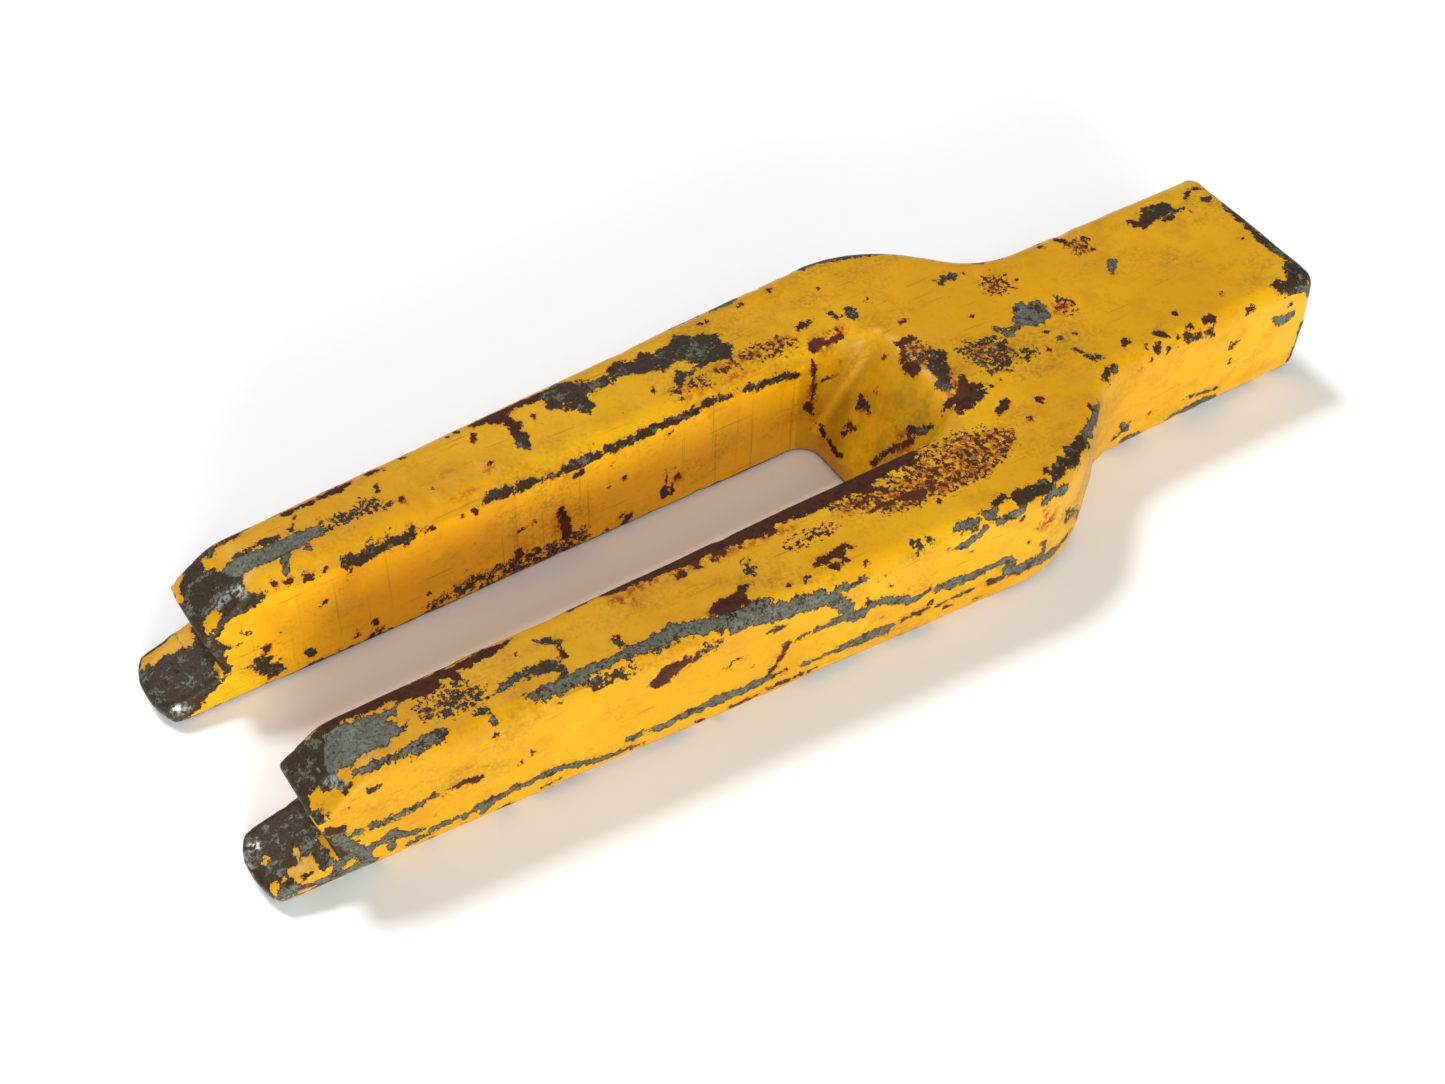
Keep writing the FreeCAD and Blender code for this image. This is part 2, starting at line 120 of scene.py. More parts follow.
def add_floor():
    size = FLOOR_HALF
    mesh = bpy.data.meshes.new("floor")
    mesh.from_pydata([(-size, -size, 0), (size, -size, 0), (size, size, 0), (-size, size, 0)],
                     [], [(0, 1, 2, 3)])
    floor = added("floor", mesh)
    floor.location.z = FLOOR_HEIGHT
    material = bpy.data.materials.new("pale_floor")
    material.use_nodes = True
    shader = material.node_tree.nodes["Principled BSDF"]
    shader.inputs["Base Color"].default_value = (FLOOR_GREY, FLOOR_GREY, FLOOR_GREY, 1)
    shader.inputs["Roughness"].default_value = 0.9
    shader.inputs["Specular IOR Level"].default_value = 0.1
    mesh.materials.append(material)


def add_dome():
    world = bpy.data.worlds.new("studio")
    world.use_nodes = True
    nodes, links = world.node_tree.nodes, world.node_tree.links
    parts = nodes.new("ShaderNodeSeparateXYZ")
    links.new(nodes.new("ShaderNodeTexCoord").outputs["Generated"], parts.inputs[0])
    dome = nodes.new("ShaderNodeMapRange")
    links.new(parts.outputs["Z"], dome.inputs["Value"])
    for name, number in DOME.items():
        dome.inputs[name].default_value = number
    background = nodes["Background"]
    background.inputs["Color"].default_value = DOME_COLOUR
    links.new(dome.outputs[0], background.inputs["Strength"])
    bpy.context.scene.world = world
    bpy.context.scene.view_settings.view_transform = "Standard"


add_camera()
add_floor()
add_dome()
for sun_name, sun in SUNS.items():
    add_soft_sun(sun_name, *sun)

# ------------------------------------------------------------ wear, placed one by one
# kind: (brown share, raggedness, deepest value) of the bare metal it shows
KINDS = {
    "clean": (0.06, 0.60, 4.0),
    "slate": (0.22, 0.90, 2.5),
    "mixed": (0.46, 1.05, 1.5),
    "brown": (1.05, 0.85, 3.0),
    "dark": (0.46, 0.70, 4.0),
    "speckled": (0.52, 1.70, 0.45),
    "rusty": (1.50, 2.00, 0.00),
}

# Faces: top; side, the near outer one; inner, the far tine's wall of the slot; front, what faces
# the tips round the hollow and on the shoulders; tips, the ends of the tines. Turned away from
# the camera: far, the far outer side; opposite, the near tine's wall of the slot; end, the shank's.

# lines and spots: (along, across, half width) on each face
LINES = {}
LINES["top", "clean"] = [[(33, 37.5, 3.2), (45, 37.3, 3.1), (55, 37.5, 3), (63, 38, 2.2)]]
LINES["top", "slate"] = [
    # far tine
    [(51, 34.5, 1.2), (49.5, 31.5, 1), (48.5, 29.2, 1.3)], [(57, 34.5, 1.2), (58, 32.3, .8)],
    [(311, 34, 1.4), (313.5, 34.3, 1.6)], [(335, 32, 1.4), (338, 33.5, 1.8)],
    # yoke and shank
    [(295.5, 3, 1.6), (298, -1.5, 1.5)], [(298, 0, .8), (303, 0, .9)], [(311, -12, 1.3)],
    [(346.5, 4.7, .8), (348.5, 7, .7), (351, 9.3, 1.5)],
    # near tine and shoulder
    [(32, -47.5, .5), (36, -49, .9), (42, -49.3, 1.1), (48, -50, 1), (54, -49.2, 1.5),
     (59, -49.5, 1.9)], [(73.5, -52.5, .9)],
    [(84, -50.5, .6), (88, -51.5, 1.2), (94, -52.3, 2.3), (100, -52.5, 2.2), (107, -52, 1.6),
     (113, -52.5, 1.4), (120, -52, 2), (126, -53, 2.3), (132, -52.5, 2.5), (138, -53.5, 2.5),
     (145, -55.5, 2.3), (152, -57, 2.1), (158, -57.5, 2.3), (163, -57, 2)],
    [(131, -51.5, 1.5), (135, -51, 1.6)], [(163, -59.5, 1.3), (172, -60, 1), (182, -61, .8)],
    [(316, -61.5, 1)], [(230, -62, .9), (234, -62.5, 1.2), (237, -62.5, .9)],
    [(241, -62.2, .6), (244, -62.5, .9)],
    [(288, -52.5, .9), (292, -50.2, 1.5), (297, -46.8, 1.1), (304, -41, .9)], [(317.5, -32, 1.2)],
]
LINES["top", "mixed"] = [
    [(375.5, 20.5, 2.2), (380, 22.5, 4), (386, 22, 3)], [(382, 17.5, .8), (386, 16.8, .7)],
    [(388, 19.5, 1.2), (393, 16.5, .5)], [(402.3, 18.5, 1.6)],
    [(405.5, 13, 1), (404.8, 5, 1.3), (404.3, -5, 1.5), (404, -12, 2), (405, -20, 1.6)],
    [(257, 62.5, 1), (262, 63.5, 1.6), (270, 61.5, 2), (278, 58.5, 1.8), (283, 57, 1.6),
     (290, 53, 1), (296, 47.5, .8), (299.5, 43.8, .8)],
    [(38, 41, .8), (45, 42.2, 1.2), (52, 42, .8)], [(56.8, 43, 1.2)],
    [(134.8, 43, 1.3), (134.5, 39.5, 2.5), (134.5, 36.5, 1.5)],
    [(191, 36.5, 1.1), (193, 38.8, 1.5), (196, 38, 1), (198.5, 38.5, .7)],
    [(219, 61, 1.3), (225, 61.5, 2), (229, 63, 1.4)], [(250, 31, 1.1)],
    [(252, 38, .6), (253, 35.5, 1)], [(267, 37, .9)],
    [(257, 32, 1.5), (258.5, 35, 1.3), (258.5, 37.5, .9)],
    [(293, 31.8, 1.2), (296, 33, 1.3), (299.5, 31.5, 1.1)],
    [(311.5, -19.5, .9), (313, -23, 1.5), (315.5, -26, 1.2)],
    [(339.5, -26, 1.2), (342, -29.3, 1.1)], [(376, -32.3, .4), (380, -31.8, .4)],
    [(97.5, -34, .5), (101, -36, .9), (103.5, -37.8, 1)],
    [(79, -45, .4), (83, -44.3, 1.2), (88, -43, 1.5), (92, -44, 2), (96, -45, 1.9), (99, -47, 1.5),
     (98, -49.5, 1.1)], [(117, -46.8, 1.1), (118.5, -48, 1.4)], [(71, -48.5, 1.1), (74, -49, .9)],
    [(178, -56, 1.4)], [(214, -60, .8), (216, -61.5, 1)], [(220, -61, .7)],
    [(247, -60, 1.2), (249, -59.5, 1.4)], [(253, -62, 1.8), (259, -62, 2.5), (264, -62, 2.2)],
    [(270, -60, 1.5), (275, -58, 2), (279, -58.5, 1.2)],
    [(280, -56, 2), (284, -54, 2.2), (288, -53, 1.2)], [(272, -19, 1.6), (267, -21, 1.8)],
    [(310.5, -34, .8), (314, -33, .9)],
]
LINES["top", "brown"] = [
    # small chips of the far tine
    [(85.5, 42.5, .6), (86.2, 44.5, .7)], [(90.5, 36.2, .9)], [(101.5, 35.6, .5)],
    [(121, 35.5, .6)], [(121, 47.5, .8), (122.5, 49.5, .6)], [(59.5, 47, .6)],
    [(58, 50, 1), (68, 50, .6)], [(69, 50, 1.1), (80, 51, .9)], [(87, 52, .8), (91, 51.5, .7)],
    [(37, 49, .6), (42, 49.6, .6)], [(98.5, 53, .7)], [(119, 54, .9)], [(115, 53, .5)],
    [(124, 54, .9), (130, 53.5, 2.2), (134.5, 50, 2), (135.8, 46.5, 1.8), (135, 43, 1.3)],
    [(130, 54, 1.8), (140, 54.5, 1.4), (150, 54.5, 1.8)], [(143, 47, .7)], [(182, 37, .6)],
    [(202.5, 60.5, 1.2), (204.5, 62, 1)], [(240, 63.5, 1)], [(241, 58.5, .7)],
    [(211, 56.3, .5), (214, 56.3, .4)], [(228, 57, .7)], [(256, 51, .5)], [(249, 45, .4)],
    [(238, 37.5, 1.2), (241, 38, 1.5), (244.5, 38.5, .7)],
    [(238, 28.8, 1.2), (241, 29.5, 1.7), (243.5, 28.5, 1)], [(245, 28, .5), (250, 28.2, .6)],
    [(251, 40.5, .7)], [(270.5, 22.5, 1.1)], [(319, 32.3, 1)],
    # yoke and shank
    [(309, -6.5, 1)], [(316, -13, .6)], [(292, 12.4, .6)], [(321, 2.6, .5), (323, 4.5, .7)],
    [(324, 1.5, .5)], [(335, 28.3, .8)], [(342, 28.5, .8), (343.6, 26.8, .6)], [(308, 26, .4)],
    [(311.5, 24, .4)], [(307, 20, .5)], [(316, 18.5, .8)], [(314, 16, .4)], [(303, 31, .4)],
    [(304, -14.2, .5)], [(349, 17.5, .5)], [(346, 20, .3)],
    [(370, 22.7, 1.1), (373, 18.8, 1.6), (376, 21, 1.8)], [(398, -5, .4)],
    [(395.5, 22, .7), (398.5, 24.5, .9), (401, 25.5, .5), (404.5, 24, .5)], [(351.8, -22.5, .9)],
    [(372, -23, .5)], [(327, -26.5, 1), (328.5, -24, 1.5)], [(333, -30, .7)],
    [(336, -31.5, .8), (338.5, -31, .8)], [(346, -30.8, .5)], [(350, -31.7, .9)],
    [(352.5, -30, .9)], [(358.5, -30, 1.2), (362, -30.5, 1.2)],
    [(355, -32.8, .4), (360, -33.2, .4)], [(348, 24, .3)],
    # yoke, near side
    [(271, -29, 1.2), (274, -28.2, 1.7), (276.5, -26.5, .9)], [(286.5, -31.8, 1.4)],
    [(278, -37, .6)], [(298.7, -42.5, 1.1)], [(287.5, -52, .5)], [(272, -55, .5)],
    [(268, -57.5, .5)], [(231, -51.3, .6)], [(276.8, -19, .6)], [(281, -17, .4)],
    # near tine
    [(27, -28, 3), (36, -28.5, 2.6), (45, -29.3, 2.2), (60, -30.2, 2.4), (75, -30.4, 1.8),
     (87, -30.3, 1.8), (92, -29.5, .6)], [(55, -32, 2), (62, -33, 2.2), (66, -34, 1.3)],
    [(70, -32.3, 1), (72, -34, 1)], [(52.5, -41, .9)], [(102.5, -40, .8), (101.5, -43.5, 1)],
    [(90.3, -36, .4)], [(163, -46.2, .5)], [(118, -45.3, .5)], [(172.5, -54.5, .9)],
    [(197, -59.7, .6)], [(146, -34.7, .7), (149, -34.8, .7)], [(153, -35, .9)],
    [(159, -34.5, 1.2)], [(168, -34, .9)], [(180, -34.6, .9)], [(172, -34, .5)],
    [(221, -43, 1.3), (225, -44.5, 2.3), (229, -45.5, 1.3)], [(214, -41.5, 1), (218, -44, 1.4)],
]
LINES["top", "speckled"] = [
    [(62, 38.3, 2), (70, 38.5, 2), (74, 38, 2.2)], [(73, 38, 1), (80, 40, 1.8), (83, 41, 1)],
    [(78, 38, 1), (85.5, 37, .9)], [(251, -38, 2), (252, -43, 2.6)],
    [(229, -37, 1.6), (230, -39, 1.8)], [(166, -44, 1), (167, -41, .8)],
    [(284, -7, 3.5), (288, -11, 2.5), (292, -3, 2)],
]
LINES["top", "rusty"] = [
    [(189, 33, 1), (197, 33, 1.6)], [(205, 35, 1.5), (211, 34, 1.8)],
    [(216, 36, 1.5), (224, 34, 2.5), (232, 34, 1.5)], [(182, -42, 1.2), (197, -42, 1)],
    [(309, 21, 4)], [(347, 22, 4)], [(322, 0, 3)],
]
LINES["side", "slate"] = [
    [(24, 25.8, 1.2), (23.5, 24, 1.6), (24.5, 21, 2.2), (26, 17.5, 2.3), (27.5, 14.5, 2.6)],
    [(22, 12, .9), (28, 12.5, 1.6), (34, 13.5, 1.2), (38.5, 14.5, 2.1), (42, 12, 1.1),
     (48, 10.5, .8)], [(24, 13, 1.8), (22, 9, 1.5), (20, 7, 1.5)], [(30, 11, 2.1), (31, 7, 1.9)],
    [(38.5, 12, 1), (38.5, 8.5, 1.1)], [(12, 7, .9), (18, 6.5, 1.3), (25, 5.5, 2.3), (32, 5, 2)],
    [(5, 7.3, 2), (8, 8, 1.9)],
    [(3, 3.5, 1.6), (10, 3, 1.9), (17, 3, 1.9), (26, 3, 2.2), (33, 3, 2)],
    [(26, 22.5, 1), (33, 23, 1.1), (42, 23, 1.1), (50, 24.2, .9), (58, 24.6, .5)],
    [(43, 6.5, .7), (50, 7, 1)], [(50.5, 7, 1), (50.8, 4, .8), (50.5, 1.5, .8)],
    [(50, 8.6, 1), (56, 9, 1), (62, 8.8, .8), (68, 10, 2.1), (72, 10.5, 1.3), (78, 11.2, 1),
     (84, 11.2, 1.1), (89, 12, 1.6), (94, 11.2, 1), (98, 9.5, 1.4), (102, 7.8, 1.4), (108, 6.8, 1),
     (114, 6.3, .7), (120, 6, .4)], [(68, 8, 1.6), (66.5, 6.5, 1)], [(60.5, 8, .7), (61, 4, .6)],
    [(86, 6, .7), (92, 6, .4)],
    [(115, 11.3, 1.2), (120, 12, 1.1), (127, 10.5, 1.9), (134, 11.5, 1.5), (140, 11.5, 1.6),
     (146, 12, 2.1), (152, 11.5, 1.8), (158, 11.5, 1.7), (163, 12, 1.5)],
    [(160, 40, .9), (164, 38.8, 1.8), (170, 39, 2.3), (176, 38.5, 2.2), (180, 38.5, 2),
     (185, 37.5, 2.2)], [(186, 39.8, 1.2), (192, 39.6, .8), (196.5, 39.6, .8)],
    [(183, 37, 2.5), (187, 33.5, 2.3), (190, 30, 2.1), (191, 27, 1.5)],
    [(168, 25.2, .9), (174, 25.2, .7), (181, 25.6, .8), (186, 26.2, 1.3), (191, 25.5, 1.5),
     (196, 24.5, 1.5), (201, 26.5, 1.2), (204, 26.5, 1.3), (208, 24, 1.3), (212, 21.5, 1.6),
     (216, 20.5, 1.7), (220, 21.8, 1)],
    [(224, 20.5, 2.1), (229, 20, 2.3), (234, 19.5, 2.5), (240, 19.8, 1.9), (245, 20.5, 1.3),
     (250, 20, 2.3), (252, 17.5, 1.5)],
    [(250, 16, 1.5), (253, 12.5, 2), (258, 12, 2.5), (263, 11.5, 2.3), (268, 10, 2),
     (275, 10, 1.4), (282, 10.5, .8)], [(264, 20, .9), (266, 18, 1.1), (266, 13.5, 1.1)],
    [(175, 11, .5), (182, 11, .7), (186, 11, .9), (190, 11, 1.2), (195, 10.5, 1.9), (200, 11, 2.5),
     (205, 10.5, 2.3), (208, 11.5, 1.5)],
    [(230, 36, 1.2), (234, 36.5, 1.4), (238, 37.5, 1.1), (240, 39, .9)],
    [(245, 39.5, 1.1), (250, 40, 1.3), (254, 40, 1)],
    [(262, 39.5, 1), (267, 40.5, 1.2), (272, 38.5, 1.7)],
    [(349, 5, 1), (353, 5, 1.5), (358, 5, 2.8), (363, 4.5, 3.2), (369, 4, 2)],
    [(328, 5, 1.2), (333, 4.5, 1.9), (337, 3, 1.2)],
    [(390, 33, .9), (393, 30, 1.8), (396, 29, 2.4), (399, 29.5, 1.4)],
    [(400, 41, 1.6), (405, 39, 2), (407, 36, 1.8)],
]
LINES["side", "mixed"] = [
    [(35, 38.5, .5), (37, 38.5, .5)], [(83.5, 25, 1.1)],
    [(161.5, 34, .6), (164.5, 33.5, 1.1), (168, 33.6, .6)], [(254, 36.8, .8)],
    [(211, 11, .8), (216, 12, .7), (222, 11.6, .5), (228, 12, .7), (238, 12.2, .4)],
    [(228, 9.2, .7), (232, 9, .5)], [(238, 6.2, .4), (243, 6, .4)],
    [(244, 12.2, 1), (249, 12, 1.2)],
    [(150, 5.3, .8), (158, 5.6, .5), (167, 6.2, .5), (180, 6.2, .4)],
    [(324.5, 15, .6), (327, 12.5, 1.5), (328.5, 10.5, .9)], [(322, 8.5, .4), (325, 10, .6)],
    [(337, 12.8, .4), (341, 13, .4)],
    [(354, 12.3, .5), (360, 11.5, .6), (366, 10, .5), (371, 9, .3)], [(350, 40, .9)],
    [(353, 40.3, .5), (358, 40.4, .9)], [(341, 41, .8)],
    [(406, 22, 1.3), (406.5, 12, 1.4), (406, 6, 1.8)],
]
LINES["side", "brown"] = [
    [(20.5, 28.5, 1), (24, 27.6, 1.5)], [(59.5, 24.5, .9), (63, 24.5, 1), (66.5, 24, 1)],
    [(88.5, 11.8, 1.7)], [(79.5, 22.8, .5)], [(52.5, 15, .4)], [(27.3, 34.8, .5)],
    [(73.5, 39, .6)], [(72, 3, 1.2), (76, 3, 1.2)],
    [(163, 13.5, .8), (165, 17, .5), (167, 20.5, .5), (169, 24.5, .6), (170, 25.3, .7)],
    [(163, 11.5, .6), (169.5, 12, .5)], [(146.5, 25.8, .5), (149, 25.3, .6)],
    [(150.5, 27.8, .5), (153.5, 27.6, .5)], [(156.5, 21.3, .6)], [(197, 30, .6), (197.5, 28, .6)],
    [(205, 31.8, .6)], [(226, 37, .5)], [(203, 18, .4)], [(222, 14.5, .5)], [(235, 31.5, .6)],
    [(371, 27.3, .7)], [(371, 30, .3), (375, 29.3, .3)], [(371.5, 22, .3), (372, 20, .3)],
    [(397, 35.3, .6)], [(381, 37.5, .4)], [(361, 38, .6)], [(328.5, 39, .5)], [(333.5, 39.7, .7)],
    [(137, 6, .4), (140, 4, 1)], [(110, 41, .6), (104, 40.4, .4)], [(212, 3, .7)], [(258, 24, .4)],
    [(260.5, 29, .4)], [(263, 35.5, .5)], [(200, 36, .3)], [(203, 38.4, .5)],
]
LINES["side", "speckled"] = [
    [(136, 37, 1.5), (141, 38, 2), (145, 39, 1.2)], [(119, 41.5, .8), (104, 42, .8)],
    [(276, 24, 2), (282, 19, 1.6), (288, 12, 1.2)],
]
LINES["inner", "slate"] = [
    [(5, 7, 1.6), (8, 6.5, 2), (11, 6, 1.6)], [(48, 2, .6), (53, 1.8, .5)],
    [(68, 39, 1.6), (72, 38.6, 1.3)],
]
LINES["inner", "mixed"] = [
    [(114, 40, 1.35), (118, 39.8, 1.45), (122, 39.2, 1.45), (127, 39.3, 1.45), (131, 39.1, 1.15),
     (136, 39.2, 1.15), (141, 38.4, 1.45), (146, 38.8, 1.55), (150, 38.5, 1.65), (155, 39, 1.35),
     (160, 39, 1.45), (166, 38.8, 1.45), (171, 38.9, 1.45), (177, 39.5, 1.25), (183, 39.2, 1.25),
     (187, 39, 1.35), (193, 39.8, 0.95), (199, 40.2, 0.75), (203, 39.5, 1.15), (208, 40, 0.85),
     (214, 39, 1.15), (219, 38.6, 1.15), (223, 38.5, 1.35), (227, 37.5, 1.15), (230, 36.5, 0.85)],
    [(49, 9.5, 1.1), (49.8, 6.5, 1.5)],
    [(65, 40, 1), (68, 38.7, 2.2), (71, 38, 2.5), (75, 39.3, 1.6), (80, 39.5, 1.5), (85, 39, 1.6),
     (89, 40, .9)], [(163, 6, 1.1), (164.5, 4.5, 1.4), (163, 1.5, .9)],
    [(157, 3, 1), (156.5, 1, 1.2)], [(179, 9.5, 1), (178.7, 7, 1.1)], [(184.8, 7.5, .5)],
]
LINES["inner", "brown"] = [
    [(30.5, 29, .7), (31.5, 27.8, .8)], [(66, 5, 1)], [(65.5, 8.8, .3)],
    [(72, 8.3, .5), (73, 6.8, .5)], [(59, 2.5, .6)], [(70, 1.8, .7), (74, 2.8, .5)],
    [(56.5, 26, .5), (57.3, 27.4, .4)], [(63, 29, .4)], [(42, 22, .4)], [(40, 40.8, .4)],
    [(43.5, 42, .4)], [(46.5, 40.7, .5), (48.5, 40.7, .5)], [(52, 39.5, .7), (55, 40, .8)],
    [(58, 39, .6), (59.7, 40.2, .8)], [(66.3, 36, .3), (66, 31, .2)], [(86, 36, .8)],
    [(92.5, 38.2, .5)], [(95, 38, .5)], [(105, 37.7, .6)], [(109.5, 38, .7), (110.5, 36.6, .6)],
    [(145, 34, .4), (150, 34.6, .5)], [(159, 31.8, .6)], [(158, 22.8, .5)],
    [(164, 24, .6), (163.6, 22.8, .5)], [(131, 21, .7)], [(124, 20.3, .3), (130, 20.5, .3)],
    [(109, 23.3, .5)], [(104, 12, .5)], [(91, 9.5, .5)], [(148.5, 9, .6)], [(136, 10.5, .4)],
    [(123.5, 11, 1.3), (124.3, 8, 1.4)],
    [(139.5, 21, 1.3), (140, 18.5, 1.6), (141.7, 15.5, 1.5), (141.5, 11, 1.5), (140.5, 8, 1.5)],
    [(180, 13, .3), (180, 19, .2)], [(182, 9, .4), (182, 6, .5)], [(183.5, 14, .8), (185, 12, .8)],
    [(182, 18, .4)], [(180.5, 33.5, .5), (181.2, 35, .5)],
    [(236.2, 38, 1), (237.5, 35, .5), (237.5, 31, .6), (238, 27.5, .6), (237.5, 24, .4),
     (236.8, 21, .8)], [(235.8, 20.8, 1.2), (236.6, 18.5, 1)], [(237.3, 16, .4), (237, 14.5, .4)],
    [(241, 29.2, .5), (244, 29.5, .4), (246.5, 30, .4)], [(247, 34.5, .5)], [(237, 11.8, .4)],
]
LINES["inner", "speckled"] = [
    [(92, 3, 2), (97, 5, 1.5)],
    [(100, 5, 2), (105, 6, 2.6), (112, 4.5, 3.5), (120, 5, 3.5), (130, 5, 3.6), (140, 4, 3.6),
     (147, 5, 2.6)], [(75, 40, 1.2), (88, 39, 1.6)],
]
LINES["front", "mixed"] = [
    [(8, 24.8, 1.1), (11, 25.5, .8), (13, 25, 1.3), (14.5, 25.5, .7)],
    [(13, 24, .8), (13, 22.6, .4)],
    [(-16, 35, .8), (-14.5, 32.5, 1), (-12.5, 30.5, 1), (-10, 29, .8)],
]
LINES["front", "brown"] = [
    [(9, 18.8, .3), (11.5, 18.3, .7), (12.5, 17.2, .6)], [(11.2, 15.5, .7), (11.5, 13.8, .5)],
    [(7, 9.8, .4), (11, 9.8, .6), (13, 9.8, .3)],
    [(15, 9.9, .4), (18.3, 10.8, .5), (21, 12.6, .45), (22.6, 14.6, .4)], [(15.5, 39, .5)],
    [(10.5, 29.8, .4)],
    [(-13, 28, 1.1), (-11, 25.5, 1.3), (-8, 22, .8), (-6.5, 19.5, 1.1), (-5, 16, .8)],
]
# the sides that are turned away: broken streaks along the parting line and the corners
LINES["far", "mixed"] = [
    [(30, 24, 1), (44, 23, 1.6), (58, 22, .6)], [(88, 20.5, .5), (95, 21.5, 1), (99, 23, .6)],
    [(130, 20, 1), (150, 21.5, 1.8), (171, 22, 1.2), (186, 24, .6)],
    [(20, 14, 2.2), (27, 11, 2.6), (33, 7, 2.2), (45, 5, 1.6), (60, 5.5, .8)],
    [(90, 8, .8), (108, 7, 2), (128, 8, 1.4), (140, 6, .6)],
    [(205, 12, 1.2), (224, 10, 2.4), (246, 11, 1.6), (262, 13, .7)],
    [(66, 40, .8), (74, 41, 1.2), (101, 39, .7)], [(214, 35, 2.2), (221, 29, 1.6), (224, 25, .7)],
    [(345, 6, 1.4), (368, 5, 2.8), (386, 7, 1)], [(392, 38, 1.8), (404, 36, 2.4)],
]
LINES["far", "brown"] = [
    [(118, 33, 1.6), (122, 30, 1)], [(176, 34, 2), (184, 36, 1.2)], [(150, 33, .7)],
    [(240, 26, .9), (243, 23, .7)], [(330, 27, 1.3), (335, 25, .8)], [(360, 30, .7)],
    [(52, 33, .7)], [(71, 13, .8)], [(193, 7, .9), (198, 8, .6)], [(277, 28, 1.2)],
]
LINES["opposite", "brown"] = [
    [(22, 38, 2.5), (50, 40, 1.8), (84, 41.5, .5)],
    [(112, 41.5, .4), (124, 40.5, 1.4), (150, 40, 2), (166, 39, 2.8), (200, 39.5, 2.6),
     (222, 40, 2), (240, 41, .4)], [(64, 21, .8), (67, 24, 1.1)], [(161, 17, 1.2), (165, 13, .9)],
    [(209, 26, .6)],
]
LINES["opposite", "speckled"] = [
    [(40, 4, 2), (70, 5, 3), (86, 3, 1.4)], [(150, 4, 1.6), (196, 5, 3.4), (226, 4, 2.2)],
]
LINES["end", "slate"] = [
    [(-24, 30, 4.5), (-14, 33, 2.4), (-6, 30, .8)], [(17, 9, 2.4), (24, 7, 3)],
    [(3, 17, 1.1), (7, 20, .6)], [(-20, 6, 1.4), (-8, 4, .8)],
]
LINES["end", "brown"] = [[(10, 31, 1.5), (13, 28, .9)], [(-10, 15, .8)], [(25, 26, .7)]]

# closed patches: corners (along, across) on each face
PATCHES = {}
PATCHES["top", "dark"] = [
    [(-2, 25), (-2, 44.5), (3, 45), (6, 43.7), (10, 45), (14, 43.8), (18.5, 44), (18.5, 25)],
    [(17, 25), (17, 53), (26, 53), (31, 52), (34, 49), (33, 47.5), (29.5, 49), (29, 45), (31, 41),
     (36, 40), (36, 34), (35, 29), (34, 25)],
    [(-2, -26), (18.5, -26), (18.5, -44.5), (12, -46), (8, -45.5), (9.5, -50), (8.5, -52),
     (5, -52), (6, -46.5), (2, -45.5), (-2, -44)],
    [(17, -25), (33, -25), (33, -31), (28, -38), (27, -42), (29, -46), (31, -50), (28, -51),
     (25, -47), (24, -43), (22, -41), (20, -42), (19.5, -46), (21, -50), (23, -51.5), (18, -52.5),
     (17, -52.5)],
]
PATCHES["top", "brown"] = [
    [(122, -25), (123, -29), (127, -31), (131, -30.5), (137, -30), (142, -32), (145, -31),
     (150, -33.3), (158, -32.5), (163, -34), (170, -33), (176, -34), (184, -33), (195, -34.5),
     (203, -34.5), (208, -34), (214, -36.5), (221, -39.8), (219, -36), (217, -34), (222, -33),
     (230, -32.5), (235, -33), (238, -31), (238, -27), (236, -25)],
    [(147, -50), (151, -48.5), (157, -49), (159, -47.5), (163, -48.5), (160, -50), (159, -53.5),
     (157, -55), (150, -54), (146.5, -53)],
    [(183, -52.5), (186, -50.5), (192, -50.5), (193, -49), (196, -50), (197, -52), (193, -53.2),
     (192, -54), (186, -53.6)], [(185, -55.2), (192, -55), (193, -56.5), (189, -57), (186, -56)],
    [(263, 15.5), (268, 16), (270, 13), (268, 12), (265, 13), (262.5, 10), (262, 6), (263, 1.5),
     (261, .5), (259.5, 5), (260.5, 9), (263, 12)],
    [(272, -9), (271, -13), (275, -16), (273, -18.5), (270, -19), (268, -22), (262, -23.5),
     (260, -22.5), (262, -19), (259, -17), (260, -14.5), (265, -15), (268, -12)],
]
PATCHES["top", "mixed"] = [
    [(391, -29), (394, -27.5), (397, -30), (399, -26), (402, -22), (406, -21), (409, -25),
     (409, -33), (398, -34), (392, -32.5)],
    [(146, 55), (149, 52), (148, 48), (150, 46), (153, 46), (153, 44), (157, 43), (158, 39),
     (161, 39.5), (162.5, 43), (162, 46.5), (168, 47.5), (172, 46.5), (173, 51), (165, 52),
     (160, 55), (157, 57)],
    [(197, 45), (199, 41), (200, 38), (203, 38.5), (207, 38), (213, 37), (214.5, 40), (213, 45),
     (214, 49), (211, 51), (206, 53), (201, 55), (196, 52)],
    [(173, 46.5), (175, 48.3), (179, 48.5), (183, 46), (190, 43), (196, 45), (198, 45), (197, 52),
     (190, 52.5), (187, 54), (184, 52), (178, 55.5), (175, 53.5), (173, 51)],
    [(270, 8), (272, 5), (275, 3.5), (273, 1), (270, -3), (268, -6), (267, -11), (263, -12),
     (262, -9), (264, -5), (265, 0), (268, 3)],
]
PATCHES["top", "clean"] = [
    [(30, -32), (34, -30.5), (40, -33), (48, -34.5), (53, -34), (51, -37), (50, -41), (52, -43),
     (48, -44), (44, -45), (38, -44), (33, -45), (31, -43), (28, -44), (27, -40), (28, -36)],
]
PATCHES["top", "slate"] = [
    [(302, 3), (305, 7), (310, 10.5), (312, 8), (316, 7), (317, 3), (316, -1), (312, -2),
     (309, -3), (305, -1)],
]
